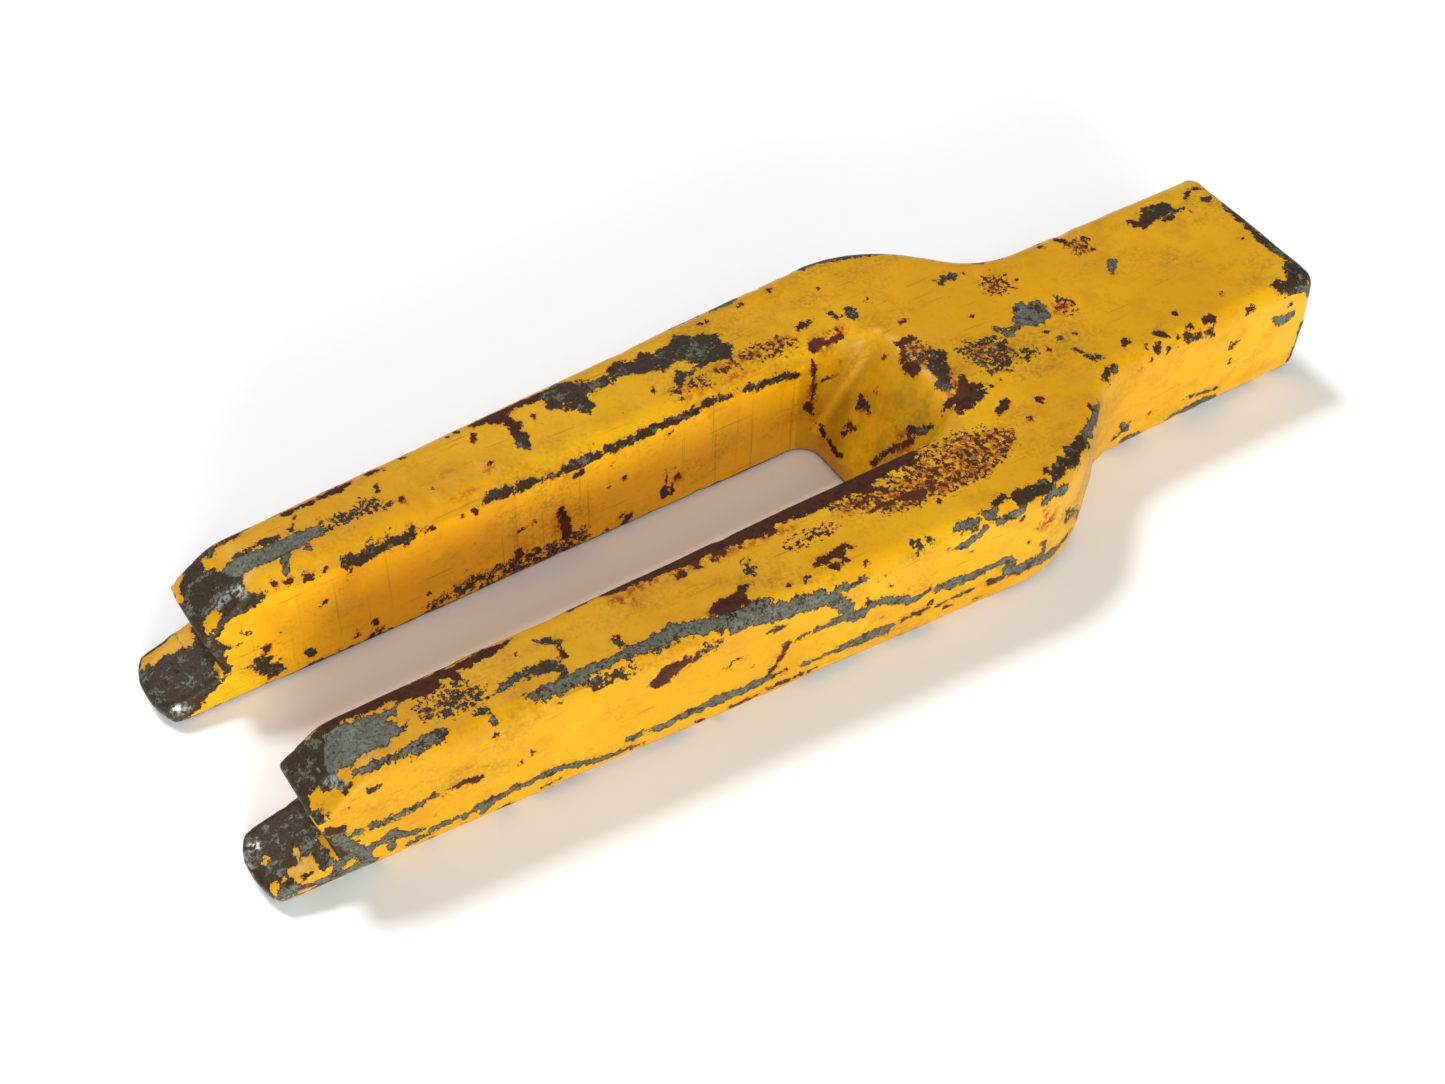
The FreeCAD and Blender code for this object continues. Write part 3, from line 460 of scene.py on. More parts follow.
PATCHES["top", "speckled"] = [
    [(57, -38), (60, -36), (64, -38), (68, -36), (72, -36), (74, -40), (76, -41), (75, -45),
     (71, -46), (66, -45), (62, -45.5), (58, -42)],
    [(276, 0), (282, 2.5), (286, 0), (291, 1), (293, -3), (292, -8), (296, -10), (300, -12),
     (297, -14), (292, -12), (288, -9), (287, -15), (284, -12), (280, -14), (281, -9), (279, -5),
     (279, -1)], [(263, 11), (268, 12), (270, 8), (268, 3), (264, 2), (262, 6)],
]
PATCHES["top", "rusty"] = [
    [(201, -35), (209, -35), (215, -38), (221, -40.5), (220, -34), (230, -32.5), (237, -33),
     (245, -30), (254, -31), (262, -34), (270, -38), (268, -42), (262, -45), (255, -47),
     (250, -48.5), (240, -49), (230, -48), (222, -48), (215, -46), (210, -42), (204, -38)],
]
PATCHES["side", "brown"] = [
    [(122, 33.5), (125, 36.5), (128, 39), (131, 37.5), (134, 39), (136, 37), (134, 35), (132, 33),
     (128, 31), (124.5, 31.5)],
]
PATCHES["inner", "dark"] = [
    [(-2, 2), (-2, 9), (8, 11), (18, 14), (24, 15), (22.5, 12.5), (20, 11), (18, 9.5), (16, 9),
     (14, 6), (13, 3), (8, 2)],
    [(16, 32.5), (23, 38), (28, 42), (34, 45), (36, 42), (39, 40), (38, 38.5), (33, 37),
     (27, 36.5), (25, 35.5), (24, 33), (22, 30), (24, 29), (25, 26), (30, 24.5), (29, 23.8),
     (24, 24), (24, 20), (25, 17), (23, 12), (19, 20)],
]
PATCHES["inner", "mixed"] = [
    [(29.5, 13), (32, 14.8), (35, 14.5), (37, 12.5), (38, 10.5), (41, 11.5), (40, 9), (41, 6),
     (39, 3.5), (36, 4.5), (32.5, 8), (30.5, 10.5)],
]
PATCHES["inner", "brown"] = [[(34.5, 19), (38.5, 19), (37.5, 16.2), (35.5, 16)]]
PATCHES["tips", "dark"] = [
    [(-46, -2), (-46, 10), (-24, 10), (-24, -2)],
    [(24, -2), (24, 10), (46, 10), (45, 5), (49, -2)],
    # upper flanks of both notches
    [(-54, 13), (-54, 24), (-44, 33), (-24, 33), (-24, 13)],
    [(24, 13), (24, 33), (42, 33), (47, 26), (54, 20), (54, 13)],
]
PATCHES["far", "dark"] = [
    [(16, 33), (24, 33), (25, 27), (28, 24), (27, 15), (31, 8), (24, 3), (-2, 3), (-2, 10),
     (22, 15)],
]
PATCHES["opposite", "dark"] = [
    [(16, 34), (30, 43), (38, 44), (34, 37), (27, 33), (26, 24), (29, 17), (26, 12), (16, 10),
     (11, 2), (-2, 2), (-2, 10), (22, 15)],
]

# paint that is left inside the patches
PAINT_LEFT = {}
PAINT_LEFT["top"] = [
    [(20.5, 27), (21, 31), (23, 32), (25.5, 31), (26, 28.5), (24, 26.5)],
    [(16, 43.5), (19.5, 42.5), (20.5, 45), (20.5, 48), (23.5, 49.5), (23.5, 54), (16, 54)],
    [(20.5, -43), (23.5, -42.5), (25.5, -46), (28, -49), (27, -51.5), (21.5, -50.5), (20, -46)],
    [(27, -26), (29, -26), (31, -27.5), (28, -28)], [(4, -39), (6, -37), (7, -39), (5, -41)],
    [(12, -43), (14, -41), (14.5, -43), (13, -44.5)], [(48, -37.5), (50, -36.5), (50, -38.5)],
]
PAINT_LEFT["side"] = [
    [(35, 10), (37, 11), (37, 8), (34.5, 8)],
    [(51.5, 4), (54, 7.5), (58, 7.5), (60, 4), (57, 1), (53, 1)],
]
PAINT_LEFT["tips"] = [[(-50, 5), (-48, 10), (-46, 10), (-47, 5)], [(-45, 0), (-43, 2.2), (-41, 0)]]

# orange rust that bleeds over the paint, then steel rubbed bright: (along, across, half width)
BLEEDING = {}
BLEEDING["top"] = [
    [(118, 33, 1.2), (121, 33.6, .8)], [(104, 29.2, .5), (112, 29.3, .6)],
    [(186, 29.3, .7), (200, 29, .7)], [(204, 29.2, .8), (217, 29.2, .6)],
    [(190, 33, 1.5), (197, 33, 1.5)], [(205, 35, 1.6), (232, 35, 2.2)],
    [(125, -33, 2.2), (130, -36, 1.8)], [(131, -32, 1.6), (145, -33, 1.5), (186, -36, 1.6)],
    [(205, -38, 2.5), (222, -44, 5), (250, -40, 9), (266, -39, 4)],
    [(266, -14, 4), (268, -4, 3), (265, 10, 4)], [(242, 29, 3), (251, 30, 2)], [(320, 0, 3.5)],
    [(346, 22, 3)], [(62, -40, 1), (70, -41, 1)], [(284, -4, 5), (290, -8, 4)], [(308, 20, 3)],
]
BLEEDING["side"] = [
    [(128, 33, 1.5), (138, 37, 2)], [(164, 18, 1.2), (168, 24, 1.2)], [(88, 12, 2.5)],
    [(265, 30, 4)],
]
BLEEDING["inner"] = [[(184, 12, 2)], [(140, 14, 3)], [(237, 30, 2), (237, 18, 2)], [(124, 10, 2)]]
BLEEDING["front"] = [[(11, 17, 2)], [(-11, 26, 4)], [(12, 25, 3)]]
BRIGHT = {}
BRIGHT["top"] = [
    [(26, 31.5, 1.3), (31, 32, 1.5), (34, 29, 1.6)], [(26, -43.5, 1.2), (29, -47, 1.5)],
    [(4, -32, 1.4), (6, -33.5, 1)],
]
BRIGHT["side"] = [[(3, 3, 2.4), (12, 2.5, 1.6)], [(24, 3, 1.4), (30, 3, 1.2)]]
BRIGHT["inner"] = [[(6, 7, 1.8), (9, 6, 1.4)]]
BRIGHT["tips"] = [[(-38, 6.2, 1.6), (-33, 6.5, 1.4)], [(28, 1.8, 1.4)]]


# ------------------------------------------------------------ fine mesh of the forging
MERGE = 2e-6                      # m, joins the corners that the CAD mesh has twice
# the rest in mm
VOXEL = 1.15
CHATTER = (0.45, 2)               # share and rounds of relaxing over the whole mesh
TIP_ZONE = (34, 44)               # x over which the extra rounding of the tips fades out
TIP_ROUNDS = 7
WIDE_ROUNDS = 60                  # relaxing that leaves only the broad shape
SLOT_WALL = 25.6                  # half the width of the milled slot
SLOT_END = 233
EDGE_BREAK = (38, 40)             # z over which the milled walls end
SHANK_FROM = 300                  # x
FLASH_HEIGHT, FLASH_WIDTH = 0.38, 1.3
# the bead in the far corner of the hollow, (x, y, z)
BEAD = [(236, 21, 11), (250, 21.3, 30.6), (262, 23, 43.4)]
BEAD_HEIGHT, BEAD_WIDTH = 0.80, 1.2
CORNER = 0.55                     # a point that stands out more than this is on a corner
# how many, range of reach, range of depth
CORNER_KNOCKS = (130, (1.6, 5.0), (0.12, 0.5))
DENTS = (60, (2.0, 6.0), (0.05, 0.22))
KNOCK_SEED = 11
FAR_OFF = 99.0                    # more than any distance on the part


def fine_copy(source, voxel):
    """A closed copy of the CAD mesh in even quads, drawn back on to the CAD surface."""
    mesh = source.data.copy()
    build = bmesh.new()
    build.from_mesh(mesh)
    bmesh.ops.remove_doubles(build, verts=build.verts, dist=MERGE)
    build.to_mesh(mesh)
    build.free()
    shape = added("forging_blank", mesh)
    tree = BVHTree.FromPolygons([v.co[:] for v in mesh.vertices],
                                [p.vertices[:] for p in mesh.polygons])
    remesh = shape.modifiers.new("even", "REMESH")
    remesh.mode = "VOXEL"
    remesh.voxel_size = voxel
    graph = bpy.context.evaluated_depsgraph_get()
    fine = bpy.data.meshes.new_from_object(shape.evaluated_get(graph))
    bpy.data.objects.remove(shape)
    points = [tree.find_nearest(v.co)[0] for v in fine.vertices]
    fine.vertices.foreach_set("co", np.array(points, np.float32).ravel())
    return fine


def vectors(mesh, name):
    out = np.empty(len(mesh.vertices) * 3, np.float32)
    mesh.vertices.foreach_get(name, out)
    return out.reshape(-1, 3).astype(float)


def positions(mesh):
    """Points in mm, with x measured from the tips."""
    return vectors(mesh, "co") / MM - (TIPS, 0, 0)


def set_positions(mesh, points):
    mesh.vertices.foreach_set("co", ((points + (TIPS, 0, 0)) * MM).astype(np.float32).ravel())
    mesh.update()


def neighbours(mesh):
    edges = np.empty(len(mesh.edges) * 2, np.int32)
    mesh.edges.foreach_get("vertices", edges)
    edges = edges.reshape(-1, 2)
    return np.concatenate([edges[:, 0], edges[:, 1]]), np.concatenate([edges[:, 1], edges[:, 0]])


def relaxed(points, links, share, rounds):
    """Points drawn towards the mean of their neighbours; share may differ from point to point."""
    start, end = links
    count = np.maximum(np.bincount(start, minlength=len(points)), 1)
    for _ in range(rounds):
        mean = np.stack([np.bincount(start, points[end, k], len(points)) / count
                         for k in range(3)], axis=1)
        points = points + (mean - points) * share
    return points


def ramp(value, start, end):
    """0 before start, 1 after end and a smooth step between them."""
    t = np.clip((value - start) / (end - start), 0, 1)
    return t * t * (3 - 2 * t)


def lumps(points, size, seed, stretch=(1, 1, 1)):
    """Smooth noise from -1 to 1 with lumps of that size in mm."""
    place = points / (np.array(stretch) * size) + seed
    return np.array([noise.noise(p) for p in place.tolist()])


def bell(value, width):
    return np.exp(-(value / width) ** 2)


def segment_gap(places, a, b):
    """Distance to the line from a to b, and the share of the line to the nearest place on it."""
    run = b - a
    t = np.clip((places - a) @ run / max(run @ run, 1e-9), 0, 1)
    return np.linalg.norm(places - a - t[:, None] * run, axis=1), t


def space_gap(points, line):
    """Distance to a line through points in space."""
    line = np.array(line, float)
    gap = np.full(len(points), FAR_OFF)
    for a, b in zip(line, line[1:]):
        gap = np.minimum(gap, segment_gap(points, a, b)[0])
    return gap


def knock(points, push, rng, among, knocks):
    """Round hollows pressed into the surface at some of the points."""
    count, reaches, depths = knocks
    for pick in rng.choice(among, count, replace=False):
        reach = rng.uniform(*reaches)
        close = np.flatnonzero(np.abs(points - points[pick]).max(1) < reach)
        fall = 1 - (np.linalg.norm(points[close] - points[pick], axis=1) / reach) ** 2
        push[close] -= rng.uniform(*depths) * np.clip(fall, 0, 1) ** 2


def shape_forging(mesh):
    """Worn corners, forging scale, the trimmed flash line and dents."""
    points = positions(mesh)
    links = neighbours(mesh)
    # the remesh's chatter goes everywhere, and the corners of the notched tips are worn round
    points = relaxed(points, links, *CHATTER)
    near_tips = 1 - ramp(points[:, 0], *TIP_ZONE)
    points = relaxed(points, links, (0.5 * near_tips)[:, None], TIP_ROUNDS)
    # how far a point stands out from its surroundings, which is large on convex corners
    set_positions(mesh, points)
    normal = vectors(mesh, "normal")
    wide = relaxed(points, links, 0.5, WIDE_ROUNDS)
    standing_out = ((points - wide) * normal).sum(1)

    x, y, z = points.T
    # the milled walls of the slot; the same mask later lightens their paint as painted light
    milled_and_painted_light = ((1 - ramp(np.abs(np.abs(y) - SLOT_WALL), .15, .6)) * (1 - ramp(z, *EDGE_BREAK))
              * (x < SLOT_END))
    forged = 1 - milled_and_painted_light
    push = forged * (0.30 * lumps(points, 38, 3.1) + 0.16 * lumps(points, 14, 8.7))
    push += forged * 0.05 * lumps(points, 5, 1.9) + 0.05 * milled_and_painted_light * lumps(points, 30, 5.5)
    # the flash line half way up the outer sides; every side of the shank is an outer one
    out = np.abs(y) * (x < SHANK_FROM) + 60 * (x >= SHANK_FROM)
    outer = ramp(out, 40, 46) * ramp(np.abs(normal[:, 1]), .3, .6)
    flash = bell(z - TOP / 2 - 0.5 * lumps(points, 60, 2.2), FLASH_WIDTH)
    push += FLASH_HEIGHT * outer * flash * (0.7 + 0.5 * lumps(points, 18, 6.1))
    # a bead of scale and paint down both corners of the hollow, with a faint groove beside it
    for side in (1, -1):
        gap = space_gap(points, [(along, side * across, up) for along, across, up in BEAD])
        push += BEAD_HEIGHT * bell(gap, BEAD_WIDTH) - 0.15 * bell(gap - 3.0, 1.1)
        # painted highlight: the beads join the mask that lightens the paint
        milled_and_painted_light = np.maximum(milled_and_painted_light, 0.9 * bell(gap, 1.3))
    rng = np.random.default_rng(KNOCK_SEED)
    knock(points, push, rng, np.flatnonzero(standing_out > CORNER), CORNER_KNOCKS)
    knock(points, push, rng, len(points), DENTS)
    points = points + normal * push[:, None]
    points[:, 2] = np.maximum(points[:, 2], 0.0)
    set_positions(mesh, points)
    return points, vectors(mesh, "normal"), standing_out, milled_and_painted_light


# ------------------------------------------------------------ wear fields
# Wear is a distance in mm to the edge of the paint: positive where the steel is bare.
SOUND = -4.0       # paint far from any edge
WIDER = 0.2        # because the ragged edge eats into thin marks
PATCH_RAG = 1.25   # closed patches are more ragged than lines
MARGIN = 4         # how far from a shape its wear is worked out


def line_value(places, line):
    """Half width less distance, largest along a line whose half width changes."""
    line = [np.array(p, float) for p in line]
    if len(line) == 1:
        return line[0][2] - np.linalg.norm(places - line[0][:2], axis=1)
    best = np.full(len(places), -FAR_OFF)
    for a, b in zip(line, line[1:]):
        gap, t = segment_gap(places, a[:2], b[:2])
        best = np.maximum(best, a[2] + t * (b[2] - a[2]) - gap)
    return best


def patch_value(places, patch):
    """Distance to the outline of a closed patch, positive inside."""
    corners = np.array(patch, float)
    inside = np.zeros(len(places), bool)
    gap = np.full(len(places), FAR_OFF)
    for a, b in zip(corners, np.roll(corners, -1, axis=0)):
        gap = np.minimum(gap, segment_gap(places, a, b)[0])
        run = b - a
        crossing = (a[1] > places[:, 1]) != (b[1] > places[:, 1])
        slope = run[0] / (run[1] if abs(run[1]) > 1e-9 else 1e-9)
        inside ^= crossing & (places[:, 0] < a[0] + (places[:, 1] - a[1]) * slope)
    return np.where(inside, gap, -gap)


def face_points(points, normal):
    """For each face of the tables: its two axes, and which points are on it."""
    x, y, z = points.T
    nx, ny, nz = normal.T
    return {face: (axes, np.flatnonzero(mask)) for face, axes, mask in (
        ("top", (0, 1), nz > 0.22),
        ("side", (0, 2), (ny < -0.22) & (y < -24)),
        ("inner", (0, 2), (ny < -0.5) & (y > 12) & (y < 46)),
        ("front", (1, 2), (nx < -0.4) & (x > 60)),
        ("tips", (1, 2), (nx < -0.3) & (x < 60)),
        ("far", (0, 2), (ny > 0.22) & (y > 24)),
        ("opposite", (0, 2), (ny > 0.15) & (y > -46) & (y < -12)),
        ("end", (1, 2), (nx > 0.5) & (x > 390)),
    )}


def hand_placed(points, faces):
    """Wear, share of brown and raggedness from the tables of lines and patches."""
    wear = np.full(len(points), SOUND)
    brown = np.full(len(points), 0.5)
    ragged = np.full(len(points), 0.5)
    for table, value_of, more_rag in ((LINES, line_value, 1.0), (PATCHES, patch_value, PATCH_RAG)):
        for (face, kind), shapes in table.items():
            axes, members = faces[face]
            share, rag, deepest = KINDS[kind]
            flat = points[members][:, axes]
            for shape in shapes:
                extent = np.array([p[:2] for p in shape], float)
                reach = MARGIN + max([p[2] for p in shape if len(p) > 2], default=0)
                close = np.all((flat > extent.min(0) - reach)
                               & (flat < extent.max(0) + reach), axis=1)
                who = members[close]
                value = np.minimum(value_of(flat[close], shape) + WIDER, deepest)
                gain = value > wear[who]
                wear[who[gain]] = value[gain]
                brown[who[gain]] = share
                ragged[who[gain]] = rag * more_rag
    for face, shapes in PAINT_LEFT.items():
        axes, members = faces[face]
        for shape in shapes:
            left = -patch_value(points[members][:, axes], shape)
            wear[members] = np.minimum(wear[members], left)
    return wear, brown, ragged


def amount_of(table, soft, points, faces):
    """1 on the lines of the table, fading to 0 over that many mm on each side of their edge."""
    amount = np.zeros(len(points))
    for face, shapes in table.items():
        axes, members = faces[face]
        for shape in shapes:
            value = line_value(points[members][:, axes], shape)
            amount[members] = np.maximum(amount[members], ramp(value, -soft, soft))
    return amount


def wear_fields(points, normal, standing_out):
    """Wear, brown, ragged, grime, bleeding and bright at every point."""
    x, y, z = points.T
    nx, ny, nz = normal.T
    faces = face_points(points, normal)
    wear, brown, ragged = hand_placed(points, faces)
    # grime lies in the sloped hollow, but not on its beads
    grime = (ramp(x, 236, 240) * (1 - ramp(x, 262, 275)) * (1 - ramp(np.abs(y), 20, 30))
             * ramp(TOP - z, 0.5, 4) * (nz > 0.05) * ramp(space_gap(points, BEAD), 1, 3))

    # small chips strung along every corner
    strung = (np.minimum(5.0 * (lumps(points, 4.6, 8.2) - 0.40), 1.2)
              - 3 * (1 - ramp(standing_out, 0.7, 1.2)))
    gain = strung > wear
    wear[gain] = strung[gain]
    brown[gain] = 0.55
    # the sides turned away: rubbed corners, scrapes on the underside and scattered chips
    hidden = np.maximum.reduce([ramp(-nz, 0.2, 0.6), ramp(ny, .2, .6) * (np.abs(y) > 22),
                                ramp(nx, 0.3, 0.7) * (x > 380)])
    corner = (2.6 * (standing_out - 1.15) + 2.4 * lumps(points, 26, 4.4)
              + 1.2 * lumps(points, 7, 9.1))
    scrape = (4.6 * (lumps(points, 16, 7.7, (3.0, 1, 1)) - 0.42)
              + 1.3 * lumps(points, 6, 2.7, (1.8, 1, 1)))
    chips = 5.5 * (lumps(points, 11, 5.2) - 0.60)
    rubbed = np.maximum(np.maximum(corner, chips), np.where(nz < -0.7, scrape, SOUND))
    rubbed = np.clip(rubbed, SOUND, 3) - 3 * (1 - hidden)
    gain = rubbed > wear
    wear[gain] = rubbed[gain]
    brown[gain] = ramp(lumps(points, 34, 6.6), -0.35, 0.45)[gain]
    return (np.maximum(wear, SOUND), brown, ragged, grime,
            amount_of(BLEEDING, 1.5, points, faces), amount_of(BRIGHT, 1.0, points, faces))


# ------------------------------------------------------------ the paint and the steel under it
class Tree:
    """Short ways to lay out shader nodes. Sizes of patterns are in millimetres."""

    def __init__(self, material):
        self.nodes = material.node_tree.nodes
        self.links = material.node_tree.links
        inputs = {0: self.node("TexCoord").outputs["Object"], "Scale": 1 / MM}
        self.place = self.node("VectorMath", inputs, operation="SCALE").outputs[0]

    def node(self, kind, inputs=None, **settings):
        node = self.nodes.new("ShaderNode" + kind)
        for name, value in settings.items():
            setattr(node, name, value)
        for name, value in (inputs or {}).items():
            self.put(node.inputs[name], value)
        return node

    def put(self, socket, value):
        if hasattr(value, "is_linked"):
            self.links.new(value, socket)
        else:
            socket.default_value = value

    def math(self, operation, a, b, clamp=False):
        return self.node("Math", {0: a, 1: b}, operation=operation, use_clamp=clamp).outputs[0]

    def plus(self, a, b):
        return self.math("ADD", a, b)

    def less(self, a, b):
        return self.math("SUBTRACT", a, b)

    def times(self, a, b):
        return self.math("MULTIPLY", a, b)

    def field(self, name):
        return self.node("Attribute", attribute_name=name).outputs["Fac"]

    def noise(self, size, detail, rough, seed, stretch=None):
        place = self.place
        if stretch:
            place = self.node("VectorMath", {0: place, 1: stretch}, operation="DIVIDE").outputs[0]
        inputs = {"W": seed, "Detail": detail, "Roughness": rough, "Scale": 1 / size,
                  "Vector": place}
        return self.node("TexNoise", inputs, noise_dimensions="4D").outputs[0]

    def dots(self, spacing, start, low, high):
        """How far inside a scattered dot a place is; radii run from low to high above start."""
        cells = self.node("TexVoronoi", {"Scale": 1 / spacing, "Vector": self.place})
        radius = self.remap(cells.outputs["Color"], start, 1.0, low, high, smooth=False)
        return self.less(radius, self.times(cells.outputs["Distance"], spacing))

    def remap(self, value, start, end, low=0.0, high=1.0, smooth=True):
        inputs = {"Value": value, "From Min": start, "From Max": end, "To Min": low, "To Max": high}
        kind = "SMOOTHSTEP" if smooth else "LINEAR"
        return self.node("MapRange", inputs, interpolation_type=kind).outputs[0]

    def mix(self, share, a, b, blend="MIX"):
        a, b = ((*colour, 1.0) if isinstance(colour, tuple) else colour for colour in (a, b))
        inputs = {0: share, 6: a, 7: b}
        return self.node("Mix", inputs, data_type="RGBA", blend_type=blend).outputs[2]


# linear colours
PAINT = (0.580, 0.270, 0.0010)
PAINT_PALE = (0.650, 0.328, 0.003)
PAINT_DEEP = (0.455, 0.188, 0.001)
DIRT = (0.185, 0.098, 0.007)
GREEN_DIRT = (0.270, 0.165, 0.006)
ORANGE_RUST = (0.330, 0.052, 0.002)
DARK_RUST = (0.130, 0.022, 0.005)
SLATE = (0.092, 0.093, 0.072)
SLATE_PALE = (0.152, 0.152, 0.120)
OLIVE_BLACK = (0.034, 0.025, 0.011)
BROWN = (0.060, 0.0150, 0.0050)
BROWN_DARK = (0.029, 0.0098, 0.0040)
BROWN_RED = (0.090, 0.020, 0.007)
RUBBED_STEEL = (0.50, 0.50, 0.47)
PAINTED_LIGHT_GAIN = (1.45, 1.45, 1.0)   # painted light: lifts the paint on the milled walls of the slot out of their shade, and lightens the beads of the hollow as a painted highlight

# all in mm
EDGE_SWING = 8.0                  # how far the noise moves the edge of a chip
FINE_SWING = 4.0
EDGE_SOFT = 0.06                  # half the width of the edge itself
RUST_AND_SHADE_RIM_WIDTH = (0.10, 1.10)          # dark steel just inside the edge: rust, and painted shade of the paint's step
NEAR_BARE = (-1.5, -0.05)         # paint just outside it
FLECK_SPACING, DOT_SPACING = 7.0, 2.8
COAT = 0.20                       # thickness of the paint
BRUSHED, SWELLS, PITS, CUTTER_MARKS = 0.10, 0.30, 0.30, 0.12
BUMP_STRENGTH = 0.9
SPECULAR = 0.22
STEEL_ROUGH = 0.46


def worn_paint():
    material = bpy.data.materials.new("worn_yellow_paint")
    material.use_nodes = True
    t = Tree(material)
    shader = t.nodes["Principled BSDF"]
    wear, brown, ragged = t.field("wear"), t.field("brown"), t.field("ragged")
    bleeding, bright, milled_and_painted_light = t.field("bleeding"), t.field("bright"), t.field("milled_and_painted_light")
    grime = t.field("grime")

    # where the paint is gone: the listed wear field with a ragged edge, and small flecks
    medium = t.less(t.noise(3.4, 6, 0.68, 1.0), 0.5)
    fine = t.less(t.noise(1.25, 5, 0.68, 2.0), 0.5)
    speckle = t.remap(ragged, 1.2, 2.0)
    rough_edge = t.plus(t.times(medium, t.less(1.0, t.times(speckle, 0.62))),
                        t.times(fine, speckle))
    edge = t.plus(wear, t.times(t.times(rough_edge, ragged), EDGE_SWING))
    edge = t.plus(edge, t.times(fine, FINE_SWING))
    fleck = t.dots(FLECK_SPACING, 0.80, -0.6, 0.70)
    fleck = t.plus(fleck, t.plus(t.times(fine, 2.6), t.times(medium, 1.5)))
    edge = t.math("MAXIMUM", edge, fleck)
    bare = t.remap(edge, -EDGE_SOFT, EDGE_SOFT, smooth=False)
    # dark rim inside the edge: rust, and painted shade of the paint's step
    rust_and_shade_rim = t.less(1.0, t.remap(edge, *RUST_AND_SHADE_RIM_WIDTH))
    near_bare = t.remap(edge, *NEAR_BARE)

    # paint: an uneven coat under a film of dirt, with grime in the hollow, rubs and dots
    broad = t.noise(55, 3, 0.5, 3.0)
    cloudy = t.noise(13, 5, 0.62, 4.0)
    paint = t.mix(t.remap(broad, 0.40, 0.66), PAINT, PAINT_PALE)
    paint = t.mix(t.remap(cloudy, 0.46, 0.72, 0.0, 0.6), paint, PAINT_DEEP)
    grain = t.noise(1.2, 4, 0.62, 5.0)
    paint = t.mix(t.remap(grain, 0.52, 0.74, 0.0, 0.5), paint, PAINT_DEEP)
    film = t.times(t.remap(t.noise(18, 6, 0.70, 6.0, stretch=(2.0, 1, 1)), 0.47, 0.66),
                   t.remap(grain, 0.36, 0.60))
    paint = t.mix(t.times(film, 0.50), paint, DIRT)
    in_hollow = t.times(grime, t.remap(t.noise(7, 6, 0.68, 18.0), 0.40, 0.64, 0.10, 0.6))
    paint = t.mix(in_hollow, paint, GREEN_DIRT)
    rubs = t.remap(t.noise(1.0, 2, 0.5, 7.0, stretch=(24.0, 1.3, 1.3)), 0.64, 0.74, 0.0, 0.45)
    paint = t.mix(rubs, paint, DIRT)
    dot = t.plus(t.dots(DOT_SPACING, 0.72, -0.2, 0.40), t.times(fine, 0.9))
    paint = t.mix(t.remap(dot, -0.05, 0.12, 0.0, 0.7), paint, DIRT)

    # rust bleeding over the paint, from the listed lines and out of every brown chip
    stain_noise = t.noise(2.2, 6, 0.70, 8.0)
    stain = t.times(bleeding, t.remap(stain_noise, 0.44, 0.55))
    creeping = t.times(t.times(near_bare, near_bare), t.remap(stain_noise, 0.46, 0.62))
    creeping = t.times(creeping, t.remap(brown, 0.1, 0.8, 0.35, 1.0))
    stain = t.math("MAXIMUM", stain, t.times(creeping, 0.8), clamp=True)
    paint = t.mix(t.times(stain, 0.88), paint, ORANGE_RUST)
    paint = t.mix(t.times(stain, t.remap(fine, 0.02, 0.12, 0.0, 0.85)), paint, DARK_RUST)

    # steel: grey scale, olive-black scale, brown rust and bright rubbed places
    mottle = t.noise(2.3, 5, 0.68, 9.0)
    peppered = t.noise(0.9, 4, 0.66, 10.0)
    scale = t.mix(t.remap(mottle, 0.42, 0.66), SLATE, SLATE_PALE)
    scale = t.mix(t.remap(peppered, 0.49, 0.62, 0.0, 0.85), scale, OLIVE_BLACK)
    rust = t.mix(t.remap(mottle, 0.45, 0.60), BROWN, BROWN_DARK)
    rust = t.mix(t.times(bleeding, t.remap(peppered, 0.38, 0.56, 0.3, 1.0)), rust, BROWN_RED)
    rust = t.mix(t.remap(stain_noise, 0.54, 0.68, 0.0, 0.85), rust, BROWN_RED)
    black = t.mix(t.remap(peppered, 0.40, 0.62), OLIVE_BLACK, BROWN_DARK)
    tone = t.plus(brown, t.times(t.less(t.noise(3.8, 6, 0.68, 11.0), 0.5), 1.7))
    tone = t.plus(tone, t.times(t.less(peppered, 0.5), 0.8))
    # the rim darkens the steel along the paint's edge: partly rust, partly painted shade of the
    # paint's step
    tone = t.math("MAXIMUM", tone, t.times(rust_and_shade_rim, 0.50))
    steel = t.mix(t.remap(tone, 0.27, 0.40), scale, black)
    rusted = t.remap(tone, 0.60, 0.76)
    steel = t.mix(rusted, steel, rust)
    shine = t.times(bright, t.remap(t.noise(1.5, 4, 0.62, 12.0), 0.44, 0.60))
    steel = t.mix(shine, steel, RUBBED_STEEL)

    # the cutter's upright lines in the coat on the milled faces
    cutter = t.noise(1.0, 2, 0.5, 17.0, stretch=(1.3, 3.0, 70.0))
    paint = t.mix(t.times(milled_and_painted_light, t.remap(cutter, 0.60, 0.72, 0.0, 0.4)), paint, DIRT)
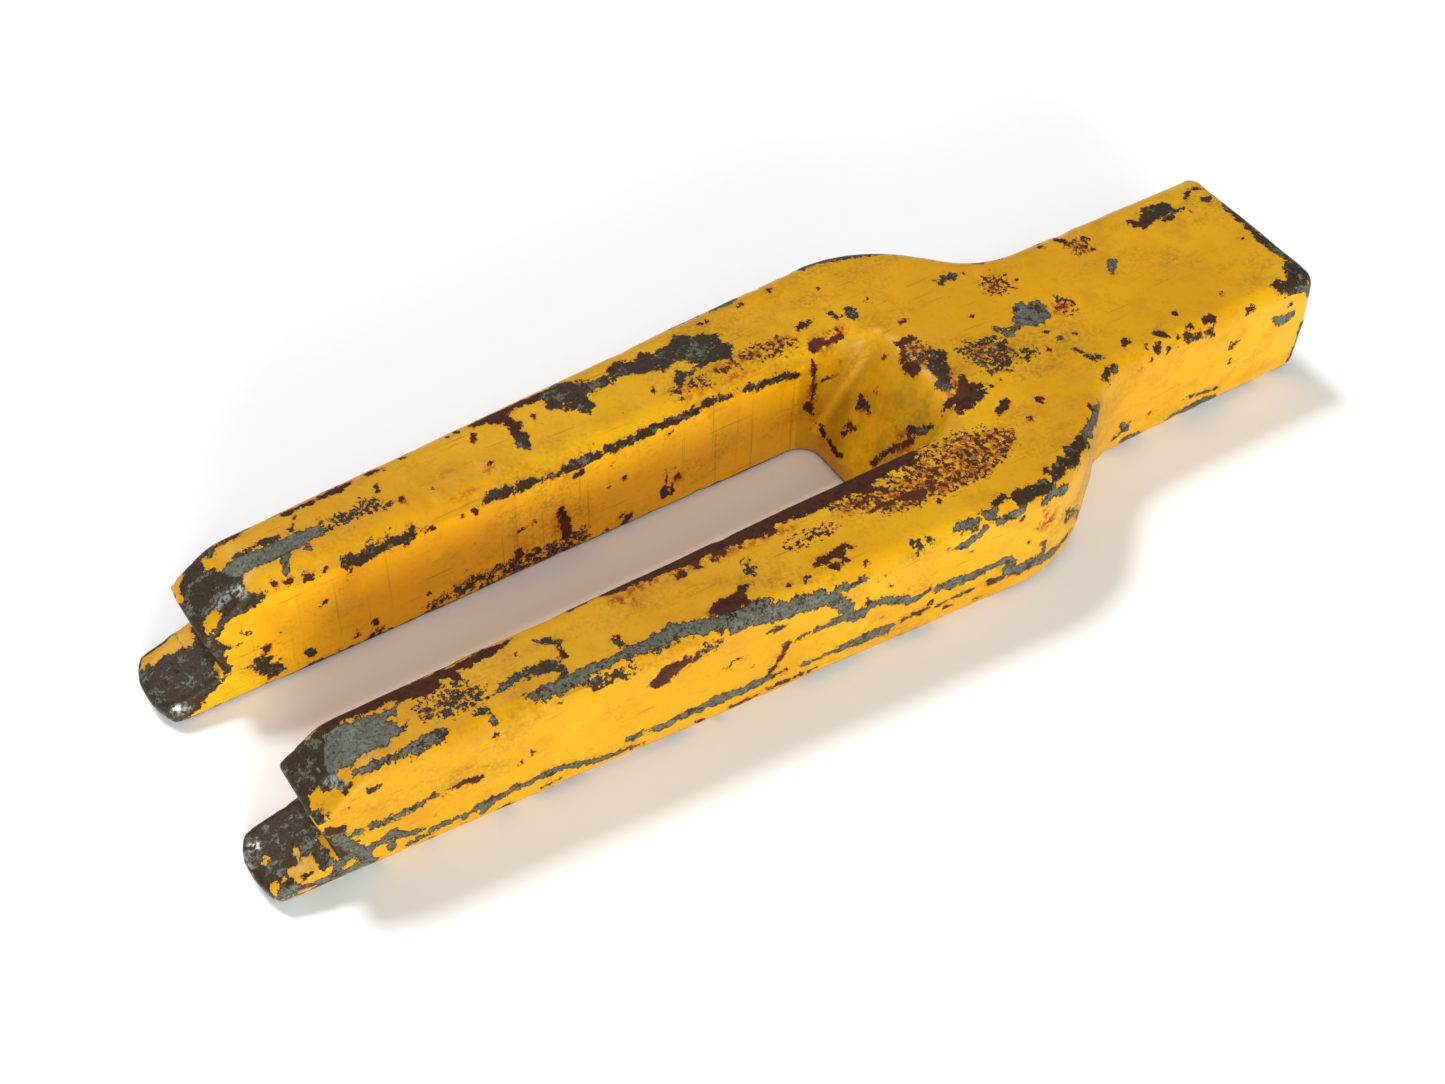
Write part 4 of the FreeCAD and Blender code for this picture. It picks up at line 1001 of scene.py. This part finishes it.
    # painted light: the paint on the milled walls is lightened against the shade of the near tine,
    # and along the beads as a painted highlight
    paint = t.mix(t.times(milled_and_painted_light, 0.8), paint, PAINTED_LIGHT_GAIN, "MULTIPLY")
    t.put(shader.inputs["Base Color"], t.mix(bare, paint, steel))
    t.put(shader.inputs["Metallic"], t.times(bare, t.remap(shine, 0.0, 1.0, 0.10, 0.9)))
    shader.inputs["Specular IOR Level"].default_value = SPECULAR

    smear = t.remap(t.noise(9, 4, 0.6, 13.0), 0.35, 0.65, 0.34, 0.50)
    steel_rough = t.less(t.plus(STEEL_ROUGH, t.times(rusted, 0.32)), t.times(shine, 0.20))
    rough = t.node("Mix", {0: bare, 2: t.plus(smear, t.times(stain, 0.3)), 3: steel_rough})
    t.put(shader.inputs["Roughness"], rough.outputs[0])

    # relief: the step at the edge of the coat, brushed lumps, pits and cutter marks
    height = t.times(t.less(1.0, bare), COAT)
    height = t.plus(height, t.times(t.noise(2.2, 3, 0.55, 14.0), BRUSHED))
    height = t.plus(height, t.times(t.noise(9, 3, 0.5, 15.0), SWELLS))
    pits = t.times(bare, t.times(t.noise(0.9, 3, 0.7, 16.0), PITS))
    height = t.plus(height, pits)
    height = t.plus(height, t.times(t.times(cutter, milled_and_painted_light), CUTTER_MARKS))
    bump = t.node("Bump", {"Distance": MM, "Strength": BUMP_STRENGTH, "Height": height})
    t.put(shader.inputs["Normal"], bump.outputs[0])
    return material


# ------------------------------------------------------------ the forging
mesh = fine_copy(cad, VOXEL * MM)
mesh.name = "fork_forging_worn"
points, normal, standing_out, milled_and_painted_light = shape_forging(mesh)
names = ("wear", "brown", "ragged", "grime", "bleeding", "bright")
for name, values in (*zip(names, wear_fields(points, normal, standing_out)), ("milled_and_painted_light", milled_and_painted_light)):
    attribute = mesh.attributes.new(name, "FLOAT", "POINT")
    attribute.data.foreach_set("value", values.astype(np.float32))
mesh.polygons.foreach_set("use_smooth", np.ones(len(mesh.polygons), bool))
mesh.materials.clear()
mesh.materials.append(worn_paint())

fork = added("fork_forging_worn", mesh)
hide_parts("fork_forging")
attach(fork, "root")
